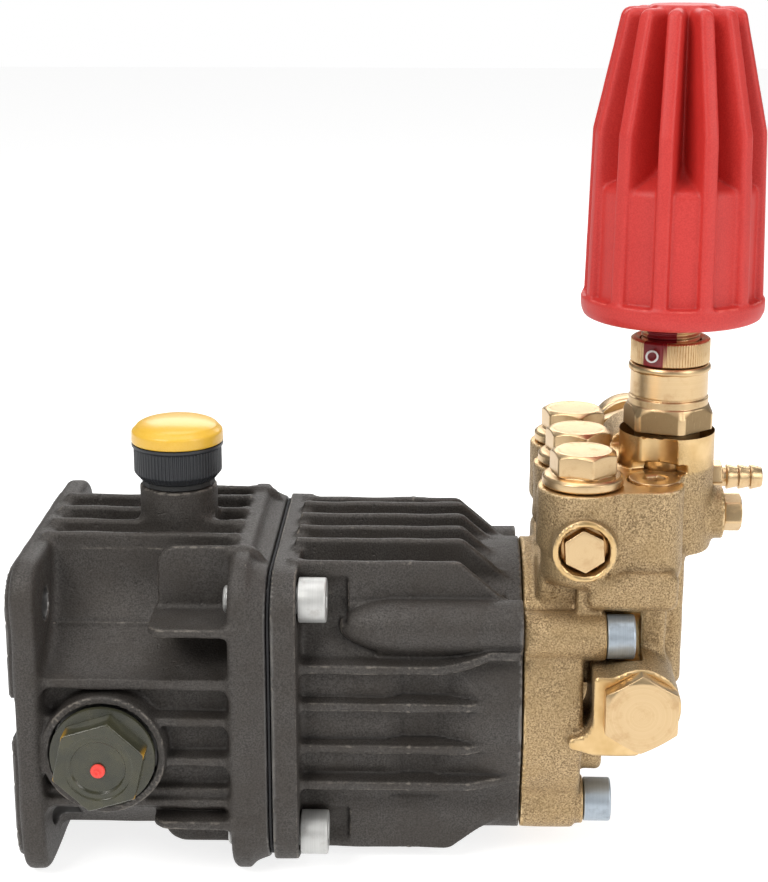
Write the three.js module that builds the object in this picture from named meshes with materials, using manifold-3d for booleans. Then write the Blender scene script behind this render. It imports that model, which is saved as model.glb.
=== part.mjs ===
// Direct-drive triplex plunger pump for a pressure washer, as an assembly of separate pieces.
// Millimetres, +Z up. The shaft lies along X: the engine bolts on at the -X end, the brass
// head is at the +X end, and -Y is the side with the sight glass. Shapes are written with
// the shaft axis at y = z = 0 and the engine flange at x = 0; the last lines move the whole
// pump so that the origin is under its middle.
import * as THREE from 'three';
import { mergeVertices } from 'three/addons/utils/BufferGeometryUtils.js';
import Module from 'manifold-3d';

const wasm = await Module();
wasm.setup();

// ---------------------------------------------------------------- driving sizes
const gap = 0.3;               // air left between touching pieces
const large = 24;              // sides of the biggest rounds
const fine = 16;               // sides of a usual round
const coarse = 8;              // sides of a small round

// Engine side
const engineBoltSquare = 65.1; // spacing of the four engine bolts
const engineBoltHole = 9.4;
const engineFlangeWidth = 99;
const engineFlangeHeight = 96.5;
const engineFlangeThick = 7.2;
const engineLandProud = 1.9;
const pilotRadius = 30;
const shaftSealBore = 23.3;
const frontBearingBore = 27.8;
const ventLow = -4.3;          // drain slot across the near side of the land
const ventTop = 8.4;
const engineShaftBore = 19.05;
const engineShaftDepth = 48;
const keyWidth = 4.8;

// Gearcase
const gearcaseLength = 72.3;   // engine flange face to gasket
const midFlangeThick = 10.8;
const midFlangeWidth = 96;
const midFlangeHeight = 97;
const sumpRadius = 36;
const sumpWall = 3.4;
const finThick = 2.6;
const topFinHeight = 50;       // above the shaft axis
const bottomFinDepth = 39.6;   // below it
const sideFinReach = 46;       // fin edges on the near and far sides
const topFinPitch = 12.6;
const sideFinHeights = [12.6, 1.3, -11, -24.1];
const lugReach = 49;
const lugLength = 23;
const lugInset = 31;           // bolt pockets start this far from the axis
const fillerX = 42.3;
const fillerNeckRadius = 11.5;
const fillerNeckTop = 59.8;
const sightX = 25;
const sightZ = -8;
const sightBossRadius = 16.7;
const sightBore = 10.2;
const sightFlangeRadius = 15.2;
const sightHexCorner = 13.9;
const sightHexDepth = 7.5;
const sightTurn = 0.3;         // how far the window plug was screwed in
const fillerBore = 8.6;
const fillerThread = 8.2;
const drainX = 44;
const drainBossRadius = 9;
const drainThread = 5;

// Plunger housing
const gasketThick = 0.6;
const sealThick = 1.6;
const housingLength = 72;
const housingFlangeThick = 7.4;
const housingFlangeWidth = 96;
const housingFlangeHeight = 89;
const headRound = 41.5;        // radius of the round casting shared by housing and head
const housingFinTop = 48.5;
const housingFinTaper = 10;
const caseBoltY = 37.8;
const caseBoltZ = 36.4;
const upperHeadBolt = [31.7, 24];
const lowerHeadBolt = [24.7, -30.9];
const upperBoltBoss = 8.4;     // radius of the casting round an upper head bolt
const lowerBoltBoss = 8.4;
const boltReach = 22;          // thread engagement of a head bolt
const housingRibHeights = [17, 5.5, -7.5, -19];
const housingRibReach = 43.5;
const noseRadius = 7.8;        // round-nosed boss beside an upper head bolt
const noseY = 34.6;
const noseZ = 27.5;
const noseLength = 13;
const screwDiameter = 8;
const screwHeadDiameter = 13;
const screwHeadHeight = 8;
const screwSocket = 6;
const screwSocketDepth = 4;
const caseScrewShank = 24;

// Pumping gear
const pitchRadius = 27.8;      // circle of the three plungers
const plungerDiameter = 15;
const stroke = 7.5;
const swashRadius = 34.2;
const swashBack = 22.3;        // middle of the plate, back from the gasket face
const swashThick = 8;
const raceThick = 3;
const shaftRadius = 15;
const tailRadius = 8.5;
const capPitch = 24.1;         // row of the valve caps, in line with the plungers

// Brass head
const headPlate = 17.2;
const upperBoltSeat = 23.6;    // from the joint face to under a bolt head
const lowerBoltSeat = 18.8;
const seatRadius = 7;
const blockRound = 9;
const capLobe = 13;
const blockTop = 67.5;
const blockBottom = 36;
const blockReach = 37.6;
const capBack = 16.4;          // places along the shaft, from the joint face of the head
const blockLength = 45.7;
const outletBack = 37.1;
const socketBack = 37.6;
const inletBack = 33;
const towerBack = 42.8;
const capCollar = 11.7;
const capCollarHeight = 3;
const capHex = 17.4;
const capHeight = 10.1;
const galleryPlugHex = 10.6;
const galleryBoss = 9.2;
const galleryRecess = 3;
const galleryBore = 5;
const galleryZ = 52;
const outletZ = 61;
const outletBoss = 12;
const outletThread = 8.3;
const portHex = 22;
const reliefLength = 17.4;     // boss of the relief plug, from the tower axis
const reliefBoss = 9.6;
const barbLength = 14.4;
const barbBoss = 6.4;
const barbY = 15;
const barbZ = 58.6;
const socketY = -17.8;
const socketPlugRadius = 7.4;
const socketPlugHeight = 4;
const unloaderThread = 9.4;    // radius of the thread in the head
const inletZ = 7;
const inletBossRadius = 11.8;
const inletPlugHeight = 5;
const inletNear = -45;         // near and far faces of the inlet gallery
const inletFar = 42;
const inletThread = 8.7;
const landWidth = 25;
const landLow = -5.8;
const landTop = 16;
const towerRadius = 14.2;
const towerTop = 78.6;
const towerFoot = 42;
const spineHalf = 17;          // back strip under the tower
const unloaderHex = 23.8;
const unloaderHexHeight = 6.6;
const stemRadius = 11.4;
const neckRadius = 8.8;
const springBore = 6.6;
const pinBore = 3.8;
const stemHeight = 19.4;
const neckHeight = 14;
const stopNutHeight = 7.4;
const knobHeight = 89.4;
const knobLift = 5.1;          // bottom of the knob above the stop nut, as it was left
const knobRibs = 12;
const knobRibThick = 3.6;
const knobCore = 10.5;
const knobBandRadius = 26.8;
const knobBandHeight = 7.5;
const knobPanelRadius = 24;
const knobPanelHeight = 38.4;
const knobKink = [24.9, 53.4];   // where a rib's edge turns inward: radius and height
const knobTopRadius = 17.4;
const knobBore = 12.6;
const knobPinBore = 8;
const knobPinRadius = 6;
const knobPitch = 1.5;         // thread lead of the pressure knob, one turn from the stop nut

// ---------------------------------------------------------------- derived places
const swashTilt = Math.atan(stroke / (2 * pitchRadius));
const gearcaseEnd = gearcaseLength;
const housingStart = gearcaseEnd + gasketThick + 2 * gap;
const housingEnd = housingStart + housingLength;
const headStart = housingEnd + gap;
const capX = headStart + capBack;
const blockRight = headStart + blockLength;
const outletX = headStart + outletBack;
const socketX = headStart + socketBack;
const inletX = headStart + inletBack;
const towerX = headStart + towerBack;
const bearingStart = 9;
const bearingEnd = bearingStart + 13;
const stemTop = towerTop + gap + stemHeight;
const knobBottom = stemTop + gap + stopNutHeight + knobLift + 2 * gap;
const swashX = gearcaseEnd - swashBack;
const raceFace = swashX + (swashThick / 2 + gap + raceThick) / Math.cos(swashTilt);
const raceSweep = raceFace + swashRadius * Math.sin(swashTilt) + 0.5;
const plungerTop = raceSweep + stroke;   // left end of a plunger at top dead centre
const plungerLength = 83;
const pocketRadius = 13.4;
const pocketEnd = housingStart + 32;
const sealPocketStart = housingEnd - 18;
const sealPocketRadius = 11.6;
const chamberRadius = plungerDiameter / 2 + 0.7;
const chamberEnd = headStart + 15;
const screwHoleRadius = screwDiameter / 2 + gap;
const dischargeFloor = 46;
const valvePocketRadius = 8.4;
const suctionX = capX + 5.8;

// Plunger stations: one at the top, two below, so that they line up with the valve caps.
const plungers = [90, 210, 330].map((degrees, index) => {
  const angle = THREE.MathUtils.degToRad(degrees);
  const y = pitchRadius * Math.cos(angle);
  const z = pitchRadius * Math.sin(angle);
  const back = (stroke / 2) * (1 - Math.sin(angle));
  return { index: index + 1, y, z, left: plungerTop - back };
});
const capRow = [-capPitch, 0, capPitch];
const stationOfCap = [plungers[1], plungers[0], plungers[2]];

// ---------------------------------------------------------------- materials
const material = (colour, roughness, metalness) => new THREE.MeshStandardMaterial({
  color: colour, roughness, metalness,
});
const looks = {
  casting: material('#54504b', 0.75, 0.35),
  castBrass: material('#9a7c4c', 0.55, 0.8),
  machinedBrass: material('#d2a64f', 0.28, 1),
  redPlastic: material('#d8342c', 0.5, 0),
  yellowPlastic: material('#f2b81f', 0.3, 0),
  blackPlastic: material('#22242a', 0.5, 0),
  zinc: material('#b3b8bd', 0.4, 0.9),
  steel: material('#c2c4c6', 0.3, 1),
  springSteel: material('#8d9299', 0.35, 1),
  rubber: material('#1a1a1b', 0.8, 0),
  gasket: material('#15171a', 0.85, 0),
  oilGlass: material('#4a4a2c', 0.15, 0),
  redDot: material('#e2302a', 0.4, 0),
};

// ---------------------------------------------------------------- solids
// Turns a closed geometry into a solid that can be joined and cut.
function solid(geometry) {
  const bare = geometry.index ? geometry.toNonIndexed() : geometry.clone();
  bare.deleteAttribute('normal');
  bare.deleteAttribute('uv');
  const merged = mergeVertices(bare, 1e-4);
  const triVerts = new Uint32Array(merged.index.array);
  const vertProperties = new Float32Array(merged.attributes.position.array);
  const made = new wasm.Manifold(new wasm.Mesh({ numProp: 3, vertProperties, triVerts }));
  if (made.volume() > 0) return made;
  for (let i = 0; i < triVerts.length; i += 3) {
    const kept = triVerts[i];
    triVerts[i] = triVerts[i + 1];
    triVerts[i + 1] = kept;
  }
  return new wasm.Manifold(new wasm.Mesh({ numProp: 3, vertProperties, triVerts }));
}

// Gives a solid back as a three.js geometry.
function geometryOf(made) {
  const mesh = made.getMesh();
  const geometry = new THREE.BufferGeometry();
  const points = new THREE.BufferAttribute(new Float32Array(mesh.vertProperties), 3);
  geometry.setAttribute('position', points);
  geometry.setIndex(new THREE.BufferAttribute(new Uint32Array(mesh.triVerts), 1));
  geometry.computeVertexNormals();
  return geometry;
}

const join = (first, ...others) => others.reduce((sum, next) => sum.add(next), first);
const cut = (first, ...others) => others.reduce((rest, next) => rest.subtract(next), first);

const turnTo = {
  x: (geometry) => geometry.rotateZ(-Math.PI / 2),
  y: (geometry) => geometry,
  z: (geometry) => geometry.rotateX(Math.PI / 2),
};

// Round bar along one axis, from one coordinate to the other, centred on the other two.
function rod(axis, radius, from, to, u, v, sides = fine, endRadius = radius) {
  const shape = new THREE.CylinderGeometry(endRadius, radius, to - from, sides);
  return place(axis, turnTo[axis](shape), (from + to) / 2, u, v);
}

// Moves a shape made about the origin to a place given as along, and the other two in order.
function place(axis, geometry, along, u, v) {
  if (axis === 'x') return solid(geometry.translate(along, u, v));
  if (axis === 'y') return solid(geometry.translate(u, along, v));
  return solid(geometry.translate(u, v, along));
}

// Block between two corners.
function block(x0, x1, y0, y1, z0, z1) {
  const shape = new THREE.BoxGeometry(x1 - x0, y1 - y0, z1 - z0);
  return solid(shape.translate((x0 + x1) / 2, (y0 + y1) / 2, (z0 + z1) / 2));
}

// Solid of revolution about one axis; each profile point is [radius, along].
function turned(axis, profile, u, v, sides = fine) {
  const points = profile.map(([radius, along]) => new THREE.Vector2(radius, along));
  const shape = new THREE.LatheGeometry(points, sides);
  return place(axis, turnTo[axis](shape), 0, u, v);
}

// Ring with a square section.
function ring(axis, inner, outer, from, to, u, v, sides = fine) {
  const profile = [[inner, from], [outer, from], [outer, to], [inner, to], [inner, from]];
  return turned(axis, profile, u, v, sides);
}

// Hexagonal bar measured across its flats, turned a little about its own axis.
function hexBar(axis, flats, from, to, u, v, turn = 0) {
  const radius = flats / Math.sqrt(3);
  const shape = new THREE.CylinderGeometry(radius, radius, to - from, 6);
  return place(axis, turnTo[axis](shape.rotateY(turn)), (from + to) / 2, u, v);
}

// Outline in the (y, z) plane pushed along X.
function plateX(shape, x0, x1, curveSegments = 3) {
  const pushed = new THREE.ExtrudeGeometry(shape, {
    depth: x1 - x0, bevelEnabled: false, curveSegments,
  });
  const axes = new THREE.Matrix4().makeBasis(
    new THREE.Vector3(0, 1, 0), new THREE.Vector3(0, 0, 1), new THREE.Vector3(1, 0, 0),
  );
  return solid(pushed.applyMatrix4(axes).translate(x0, 0, 0));
}

// Outline in the (x, z) plane pushed along Y.
function plateY(shape, y0, y1, curveSegments = 3) {
  const pushed = new THREE.ExtrudeGeometry(shape, {
    depth: y1 - y0, bevelEnabled: false, curveSegments,
  });
  return solid(pushed.rotateX(Math.PI / 2).translate(0, y1, 0));
}

// Outline in the (x, y) plane pushed along Z.
function plateZ(shape, z0, z1, curveSegments = 3) {
  const pushed = new THREE.ExtrudeGeometry(shape, {
    depth: z1 - z0, bevelEnabled: false, curveSegments,
  });
  return solid(pushed.translate(0, 0, z0));
}

// Rectangle with round corners, centred.
function roundedRect(width, height, radius, centreU = 0, centreV = 0) {
  const u = width / 2;
  const v = height / 2;
  const shape = new THREE.Shape();
  shape.absarc(centreU + u - radius, centreV - v + radius, radius, -Math.PI / 2, 0);
  shape.absarc(centreU + u - radius, centreV + v - radius, radius, 0, Math.PI / 2);
  shape.absarc(centreU - u + radius, centreV + v - radius, radius, Math.PI / 2, Math.PI);
  shape.absarc(centreU - u + radius, centreV - v + radius, radius, Math.PI, Math.PI * 1.5);
  shape.closePath();
  return shape;
}

// The two numbers in rising order.
const span = (a, b) => [Math.min(a, b), Math.max(a, b)];

// Outline from a list of corners.
const outline = (corners) => new THREE.Shape(corners.map(([u, v]) => new THREE.Vector2(u, v)));

// Coil spring along X or Z as a tube that follows a helix.
function coil(axis, coilRadius, wireRadius, from, to, turns, u, v) {
  class Helix extends THREE.Curve {
    getPoint(t, target = new THREE.Vector3()) {
      const angle = t * turns * Math.PI * 2;
      const along = from + wireRadius + t * (to - from - 2 * wireRadius);
      const a = coilRadius * Math.cos(angle);
      const b = coilRadius * Math.sin(angle);
      if (axis === 'x') return target.set(along, u + a, v + b);
      return target.set(u + a, v + b, along);
    }
  }
  const section = new THREE.Shape();
  for (let i = 0; i < 5; i += 1) {
    const angle = (i / 5) * Math.PI * 2;
    const x = wireRadius * Math.cos(angle);
    const y = wireRadius * Math.sin(angle);
    if (i === 0) section.moveTo(x, y);
    else section.lineTo(x, y);
  }
  section.closePath();
  return solid(new THREE.ExtrudeGeometry(section, {
    steps: Math.round(turns * 8), extrudePath: new Helix(), bevelEnabled: false,
  }));
}

// Every corner of a mirrored set: near and far, low and high.
const signs = [[-1, 1], [-1, -1], [1, 1], [1, -1]];
const headBolts = [
  [-upperHeadBolt[0], upperHeadBolt[1]], [-lowerHeadBolt[0], lowerHeadBolt[1]],
  [upperHeadBolt[0], upperHeadBolt[1]], [lowerHeadBolt[0], lowerHeadBolt[1]],
];

const pump = new THREE.Group();

// Adds one finished piece to the pump.
function add(name, made, look) {
  const mesh = new THREE.Mesh(geometryOf(made), looks[look].clone());
  mesh.name = name;
  pump.add(mesh);
  return mesh;
}

// ---------------------------------------------------------------- gearcase
// Section of the gearcase between its flanges: narrow top and side stacks, scooped corners.
function gearcaseSection() {
  const topHalf = topFinPitch * 1.5 + finThick / 2;
  const sideTop = sideFinHeights[0] + finThick / 2;
  const sideLow = sideFinHeights[3] - finThick / 2;
  const core = sumpRadius + sumpWall;
  const shape = new THREE.Shape();
  shape.moveTo(topHalf, core);
  shape.lineTo(topHalf, core - 2);
  shape.quadraticCurveTo(core * 0.7, core * 0.74, sideFinReach - 4, sideTop);
  shape.lineTo(core + 0.6, sideTop);
  shape.lineTo(core + 0.6, sideLow);
  shape.lineTo(topHalf + 6, -bottomFinDepth);
  shape.lineTo(-topHalf - 6, -bottomFinDepth);
  shape.lineTo(-core - 0.6, sideLow);
  shape.lineTo(-core - 0.6, sideTop);
  shape.lineTo(-sideFinReach + 4, sideTop);
  shape.quadraticCurveTo(-core * 0.7, core * 0.74, -topHalf, core - 2);
  shape.lineTo(-topHalf, core);
  shape.closePath();
  return shape;
}

// Room for the three plunger springs, between two places along the shaft.
const springPockets = (x0, x1) => plungers.map(({ y, z }) => rod('x', pocketRadius, x0, x1, y, z));

function gearcase() {
  const bodyStart = engineFlangeThick - 1;
  const midStart = gearcaseEnd - midFlangeThick;
  const bodyEnd = midStart + 1;
  const flange = plateX(roundedRect(engineFlangeWidth, engineFlangeHeight, 12), 0, engineFlangeThick);
  const land = plateX(roundedRect(engineFlangeWidth - 7, engineFlangeHeight - 7, 10), -engineLandProud, 1);
  const middle = plateX(roundedRect(midFlangeWidth, midFlangeHeight, 15), midStart, gearcaseEnd - 4);
  const rim = plateX(roundedRect(midFlangeWidth, midFlangeHeight - 6, 14), midStart + 1, gearcaseEnd);
  let body = join(
    flange, land, middle, rim, plateX(gearcaseSection(), bodyStart, bodyEnd),
    rod('z', fillerNeckRadius, 30, fillerNeckTop, fillerX, 0),
    rod('y', sightBossRadius, -sideFinReach, -sumpRadius, sightX, sightZ),
    rod('z', drainBossRadius, -bottomFinDepth - 1.5, -sumpRadius, drainX, 0, coarse),
  );
  for (const step of [-1.5, -0.5, 0.5, 1.5]) {
    const y = step * topFinPitch;
    const half = finThick / 2;
    body = join(body, block(bodyStart, bodyEnd, y - half, y + half, sumpRadius, topFinHeight));
  }
  for (const z of sideFinHeights) {
    for (const side of [-1, 1]) {
      const edges = span(side * sideFinReach, side * (sumpRadius + 1));
      body = join(body, block(bodyStart, bodyEnd, ...edges, z - finThick / 2, z + finThick / 2));
    }
  }
  const holeAt = engineBoltSquare / 2;
  for (const [side, level] of signs) {
    const shelfY = span(side * (lugInset - 4), side * lugReach);
    const shelfZ = span(level * (lugInset - finThick), level * lugInset);
    const finY = span(side * (lugInset - finThick), side * lugInset);
    const finZ = span(level * 24, level * (level > 0 ? topFinHeight : bottomFinDepth + 4));
    body = join(
      body,
      block(bodyEnd - lugLength, bodyEnd, ...shelfY, ...shelfZ),
      block(bodyEnd - lugLength, bodyEnd, ...finY, ...finZ),
    );
    body = cut(
      body,
      rod('x', engineBoltHole / 2, -5, 12, side * holeAt, level * holeAt, coarse),
      rod('x', screwHoleRadius, midStart - 5, gearcaseEnd + 5, side * caseBoltY,
        level * caseBoltZ, coarse),
    );
  }
  const vent = block(-engineLandProud - 1, 0, -60, 0, ventLow, ventTop);
  return cut(
    body, vent, ...springPockets(raceFace, gearcaseEnd + 5),
    rod('x', pilotRadius, -5, 0, 0, 0),
    rod('x', shaftSealBore, -5, bearingStart + 1, 0, 0),
    rod('x', frontBearingBore, bearingStart - gap, bearingEnd + 1, 0, 0),
    rod('x', sumpRadius, bearingEnd + gap, gearcaseEnd + 5, 0, 0, large),
    rod('z', fillerBore, 20, fillerNeckTop + 5, fillerX, 0),
    rod('y', sightBore, -sideFinReach - 5, -20, sightX, sightZ),
    rod('z', drainThread + gap, -bottomFinDepth - 5, -30, drainX, 0, coarse),
  );
}

// Hexagon window plug with a round flange and a short thread that reaches into the case.
function sightGlass() {
  const face = -sideFinReach - sealThick - 2 * gap;
  const hexagon = new THREE.CylinderGeometry(sightHexCorner, sightHexCorner, sightHexDepth, 6)
    .rotateY(sightTurn);
  return join(
    rod('y', sightFlangeRadius, face - 1.6, face, sightX, sightZ),
    solid(hexagon.translate(sightX, face - 5, sightZ)),
    rod('y', sightBore - gap, face - 1, -37.5, sightX, sightZ),
  );
}

function addGearcase() {
  add('gearcase', gearcase(), 'casting');
  add('sight_glass', sightGlass(), 'oilGlass');
  const glassSeal = -sideFinReach - gap;
  add('sight_glass_seal', ring('y', sightBore, 14.6, glassSeal - sealThick, glassSeal, sightX, sightZ),
    'rubber');
  const dotFace = -sideFinReach - sealThick - 2 * gap - 5 - sightHexDepth / 2 - gap;
  add('sight_glass_dot', rod('y', 2, dotFace - 0.4, dotFace, sightX, sightZ, coarse), 'redDot');
  const drainFace = -bottomFinDepth - 1.5 - gap;
  const drain = join(
    hexBar('z', 13, drainFace - 5, drainFace, drainX, 0),
    rod('z', drainThread, drainFace - 1, drainFace + 4, drainX, 0, coarse),
  );
  add('oil_drain_plug', drain, 'zinc');
  const [gasketStart, gasketStop] = [gearcaseEnd + gap, gearcaseEnd + gap + gasketThick];
  const sheet = plateX(roundedRect(midFlangeWidth - 1, housingFlangeHeight - 1, 14), gasketStart,
    gasketStop);
  const holes = signs.map(([side, level]) => rod('x', screwHoleRadius, gasketStart - 1,
    gasketStop + 1, side * caseBoltY, level * caseBoltZ, coarse));
  const opening = rod('x', sumpRadius, gasketStart - 1, gasketStop + 1, 0, 0);
  add('case_gasket', cut(sheet, opening, ...springPockets(gasketStart - 1, gasketStop + 1),
    ...holes), 'gasket');
}

// ---------------------------------------------------------------- oil filler cap
function addFiller() {
  const seat = fillerNeckTop + gap;
  const sealRing = ring('z', 8.9, 11, seat, seat + 1.4, fillerX, 0);
  add('oil_cap_seal', sealRing, 'rubber');
  const capStart = seat + 1.4 + gap;
  const stickEnd = sumpRadius + 1.5;
  const cap = turned('z', [
    [0, stickEnd], [2.2, stickEnd], [2.2, capStart - 8], [fillerThread, capStart - 8],
    [fillerThread, capStart],
    [11.4, capStart],
    [13.2, capStart + 2], [13.2, capStart + 10.4], [13.7, capStart + 10.4],
    [13.7, capStart + 11], [0, capStart + 11],
  ], fillerX, 0);
  add('oil_cap', cap, 'blackPlastic');
  const domeStart = capStart + 11 + gap;
  const dome = turned('z', [
    [0, domeStart], [13.8, domeStart], [13.8, domeStart + 3.4], [13, domeStart + 4.6],
    [9.4, domeStart + 6.1], [4.8, domeStart + 7], [0, domeStart + 7.3],
  ], fillerX, 0);
  add('oil_cap_insert', dome, 'yellowPlastic');
}

// ---------------------------------------------------------------- turning parts
function addRotor() {
  const tailEnd = housingStart + 13;
  const keyway = block(-1, engineShaftDepth, -keyWidth / 2, keyWidth / 2, 5, 11.8);
  const shaft = cut(
    join(rod('x', shaftRadius, 0, swashX + 10, 0, 0), rod('x', tailRadius, swashX + 9, tailEnd, 0, 0)),
    rod('x', engineShaftBore / 2, -1, engineShaftDepth, 0, 0),
    keyway,
  );
  add('drive_shaft', shaft, 'steel');

  // The plate leans about Y, so that its top is nearest the plungers in the rest pose.
  const leaning = (geometry, along) => solid(geometry.translate(0, along, 0)
    .rotateZ(-Math.PI / 2).rotateY(swashTilt).translate(swashX, 0, 0));
  const disc = leaning(new THREE.CylinderGeometry(swashRadius, swashRadius, swashThick, large), 0);
  const hub = rod('x', 19.6, bearingEnd + gap, swashX, 0, 0);
  const bore = rod('x', shaftRadius + gap, 0, 80, 0, 0);
  add('swash_plate', cut(join(disc, hub), bore), 'steel');
  const section = [[20.5, 0], [swashRadius, 0], [swashRadius, raceThick], [20.5, raceThick],
    [20.5, 0]].map(([radius, along]) => new THREE.Vector2(radius, along));
  const race = leaning(new THREE.LatheGeometry(section, large), swashThick / 2 + gap);
  add('thrust_race', race, 'steel');

  add('front_bearing', ring('x', shaftRadius + gap, frontBearingBore - gap, bearingStart,
    bearingEnd, 0, 0), 'steel');
  add('shaft_oil_seal', ring('x', shaftRadius + gap, shaftSealBore - gap, 1.2,
    bearingStart - 2 * gap, 0, 0),
    'rubber');
  add('tail_bearing', ring('x', tailRadius + gap, 12.2, housingStart + 1, tailEnd, 0, 0), 'steel');
}

// ---------------------------------------------------------------- plungers
function addPlungers() {
  const shoulder = 4.5;
  for (const { index, y, z, left } of plungers) {
    const radius = plungerDiameter / 2;
    const bar = turned('x', [
      [0, left], [4, left + 0.5], [6.2, left + 2], [radius - 1.2, left + shoulder],
      [radius - 1.2, left + shoulder + 3], [radius, left + shoulder + 3.4],
      [radius, left + plungerLength - 0.8], [radius - 0.8, left + plungerLength],
      [0, left + plungerLength],
    ], y, z);
    add(`plunger_${index}`, bar, 'steel');
    const washer = left + shoulder + gap;
    const cup = ring('x', radius - 1.2 + gap, 12.2, washer, washer + 2.2, y, z);
    add(`spring_retainer_${index}`, cup, 'steel');
    const spring = coil('x', (radius + pocketRadius) / 2, 1, washer + 2.2 + gap, pocketEnd - gap, 4,
      y, z);
    add(`plunger_spring_${index}`, spring, 'springSteel');
    const seal = ring('x', radius + gap, sealPocketRadius - gap, sealPocketStart + gap,
      housingEnd - 1, y, z);
    add(`water_seal_${index}`, seal, 'rubber');
  }
}

// ---------------------------------------------------------------- plunger housing
// Outline shared by the far end of the housing and the near end of the head.
function roundCasting(x0, x1) {
  const bosses = headBolts.map(([y, z]) => rod('x', z > 0 ? upperBoltBoss : lowerBoltBoss,
    x0, x1, y, z));
  return join(rod('x', headRound, x0, x1, 0, 0, large), ...bosses);
}

// Fin that stands up from the housing and slopes down towards the head.
function taperedFin(from, to, low, high, y) {
  const fin = outline([[from, low], [to, low], [to - housingFinTaper, high], [from, high]]);
  return plateY(fin, y - finThick / 2, y + finThick / 2);
}

function plungerHousing() {
  const flangeEnd = housingStart + housingFlangeThick;
  const finEnd = housingEnd - 7.5;
  let body = join(
    plateX(roundedRect(housingFlangeWidth, housingFlangeHeight, 14), housingStart, flangeEnd),
    roundCasting(flangeEnd - 1, housingEnd),
  );
  for (const [y, top] of [[6, housingFinTop], [18, housingFinTop], [lugInset, housingFinTop - 2.5]]) {
    for (const side of [-1, 1]) {
      const low = y > 20 ? 20 : sumpRadius;
      body = join(body, taperedFin(flangeEnd - 1, finEnd, low, top, side * y));
    }
  }
  for (const side of [-1, 1]) {
    body = join(body, taperedFin(flangeEnd - 1, finEnd - 2, -lugInset, -44.3, side * lugInset));
    for (const z of housingRibHeights) {
      const reach = span(side * sumpRadius, side * housingRibReach);
      body = join(body, block(flangeEnd - 1, finEnd - 8, ...reach, z - finThick / 2, z + finThick / 2));
    }
    const noseEnd = flangeEnd + 2 * noseLength;
    const nose = rod('x', 2, noseEnd - noseLength, noseEnd, side * noseY, noseZ, fine, noseRadius);
    body = join(body, nose, rod('x', noseRadius, noseEnd - 0.1, housingEnd, side * noseY, noseZ));
  }
  body = cut(body, ...springPockets(housingStart - 5, pocketEnd));
  for (const { y, z } of plungers) {
    body = cut(
      body,
      rod('x', plungerDiameter / 2 + gap, pocketEnd - 1, housingEnd + 1, y, z),
      rod('x', sealPocketRadius, sealPocketStart, housingEnd + 5, y, z),
    );
  }
  const caseHoles = signs.map(([side, level]) => rod('x', screwHoleRadius, housingStart - 5,
    flangeEnd + 1, side * caseBoltY, level * caseBoltZ, coarse));
  const headHoles = headBolts.map(([y, z]) => rod('x', screwHoleRadius, housingEnd - 24,
    housingEnd + 5, y, z, coarse));
  const seats = signs.map(([side, level]) => rod('x', screwHeadDiameter / 2 + 1, flangeEnd,
    flangeEnd + 14, side * caseBoltY, level * caseBoltZ));
  return cut(body, rod('x', 12.5, housingStart - 5, housingStart + 15, 0, 0), ...caseHoles,
    ...headHoles, ...seats);
}

// Socket-head screw whose shank runs back along -X from under the head.
function socketScrew(seat, shank, y, z) {
  const headEnd = seat + screwHeadHeight;
  return cut(
    join(
      rod('x', screwHeadDiameter / 2, seat, headEnd, y, z),
      rod('x', screwDiameter / 2, seat - shank, seat + 1, y, z, coarse),
    ),
    hexBar('x', screwSocket, headEnd - screwSocketDepth, headEnd + 1, y, z),
  );
}

// Where the underside of a head bolt rests, for an upper or a lower bolt.
const boltSeat = (z) => headStart + (z > 0 ? upperBoltSeat : lowerBoltSeat);

function addHousing() {
  add('plunger_housing', plungerHousing(), 'casting');
  const seat = housingStart + housingFlangeThick + gap;
  signs.forEach(([side, level], i) => {
    add(`case_screw_${i + 1}`, socketScrew(seat, caseScrewShank, side * caseBoltY,
      level * caseBoltZ), 'zinc');
  });
  headBolts.forEach(([y, z], i) => {
    const seatOfBolt = boltSeat(z);
    const reach = seatOfBolt - housingEnd + boltReach;
    add(`head_bolt_${i + 1}`, socketScrew(seatOfBolt + gap, reach, y, z), 'zinc');
  });
}

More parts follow.
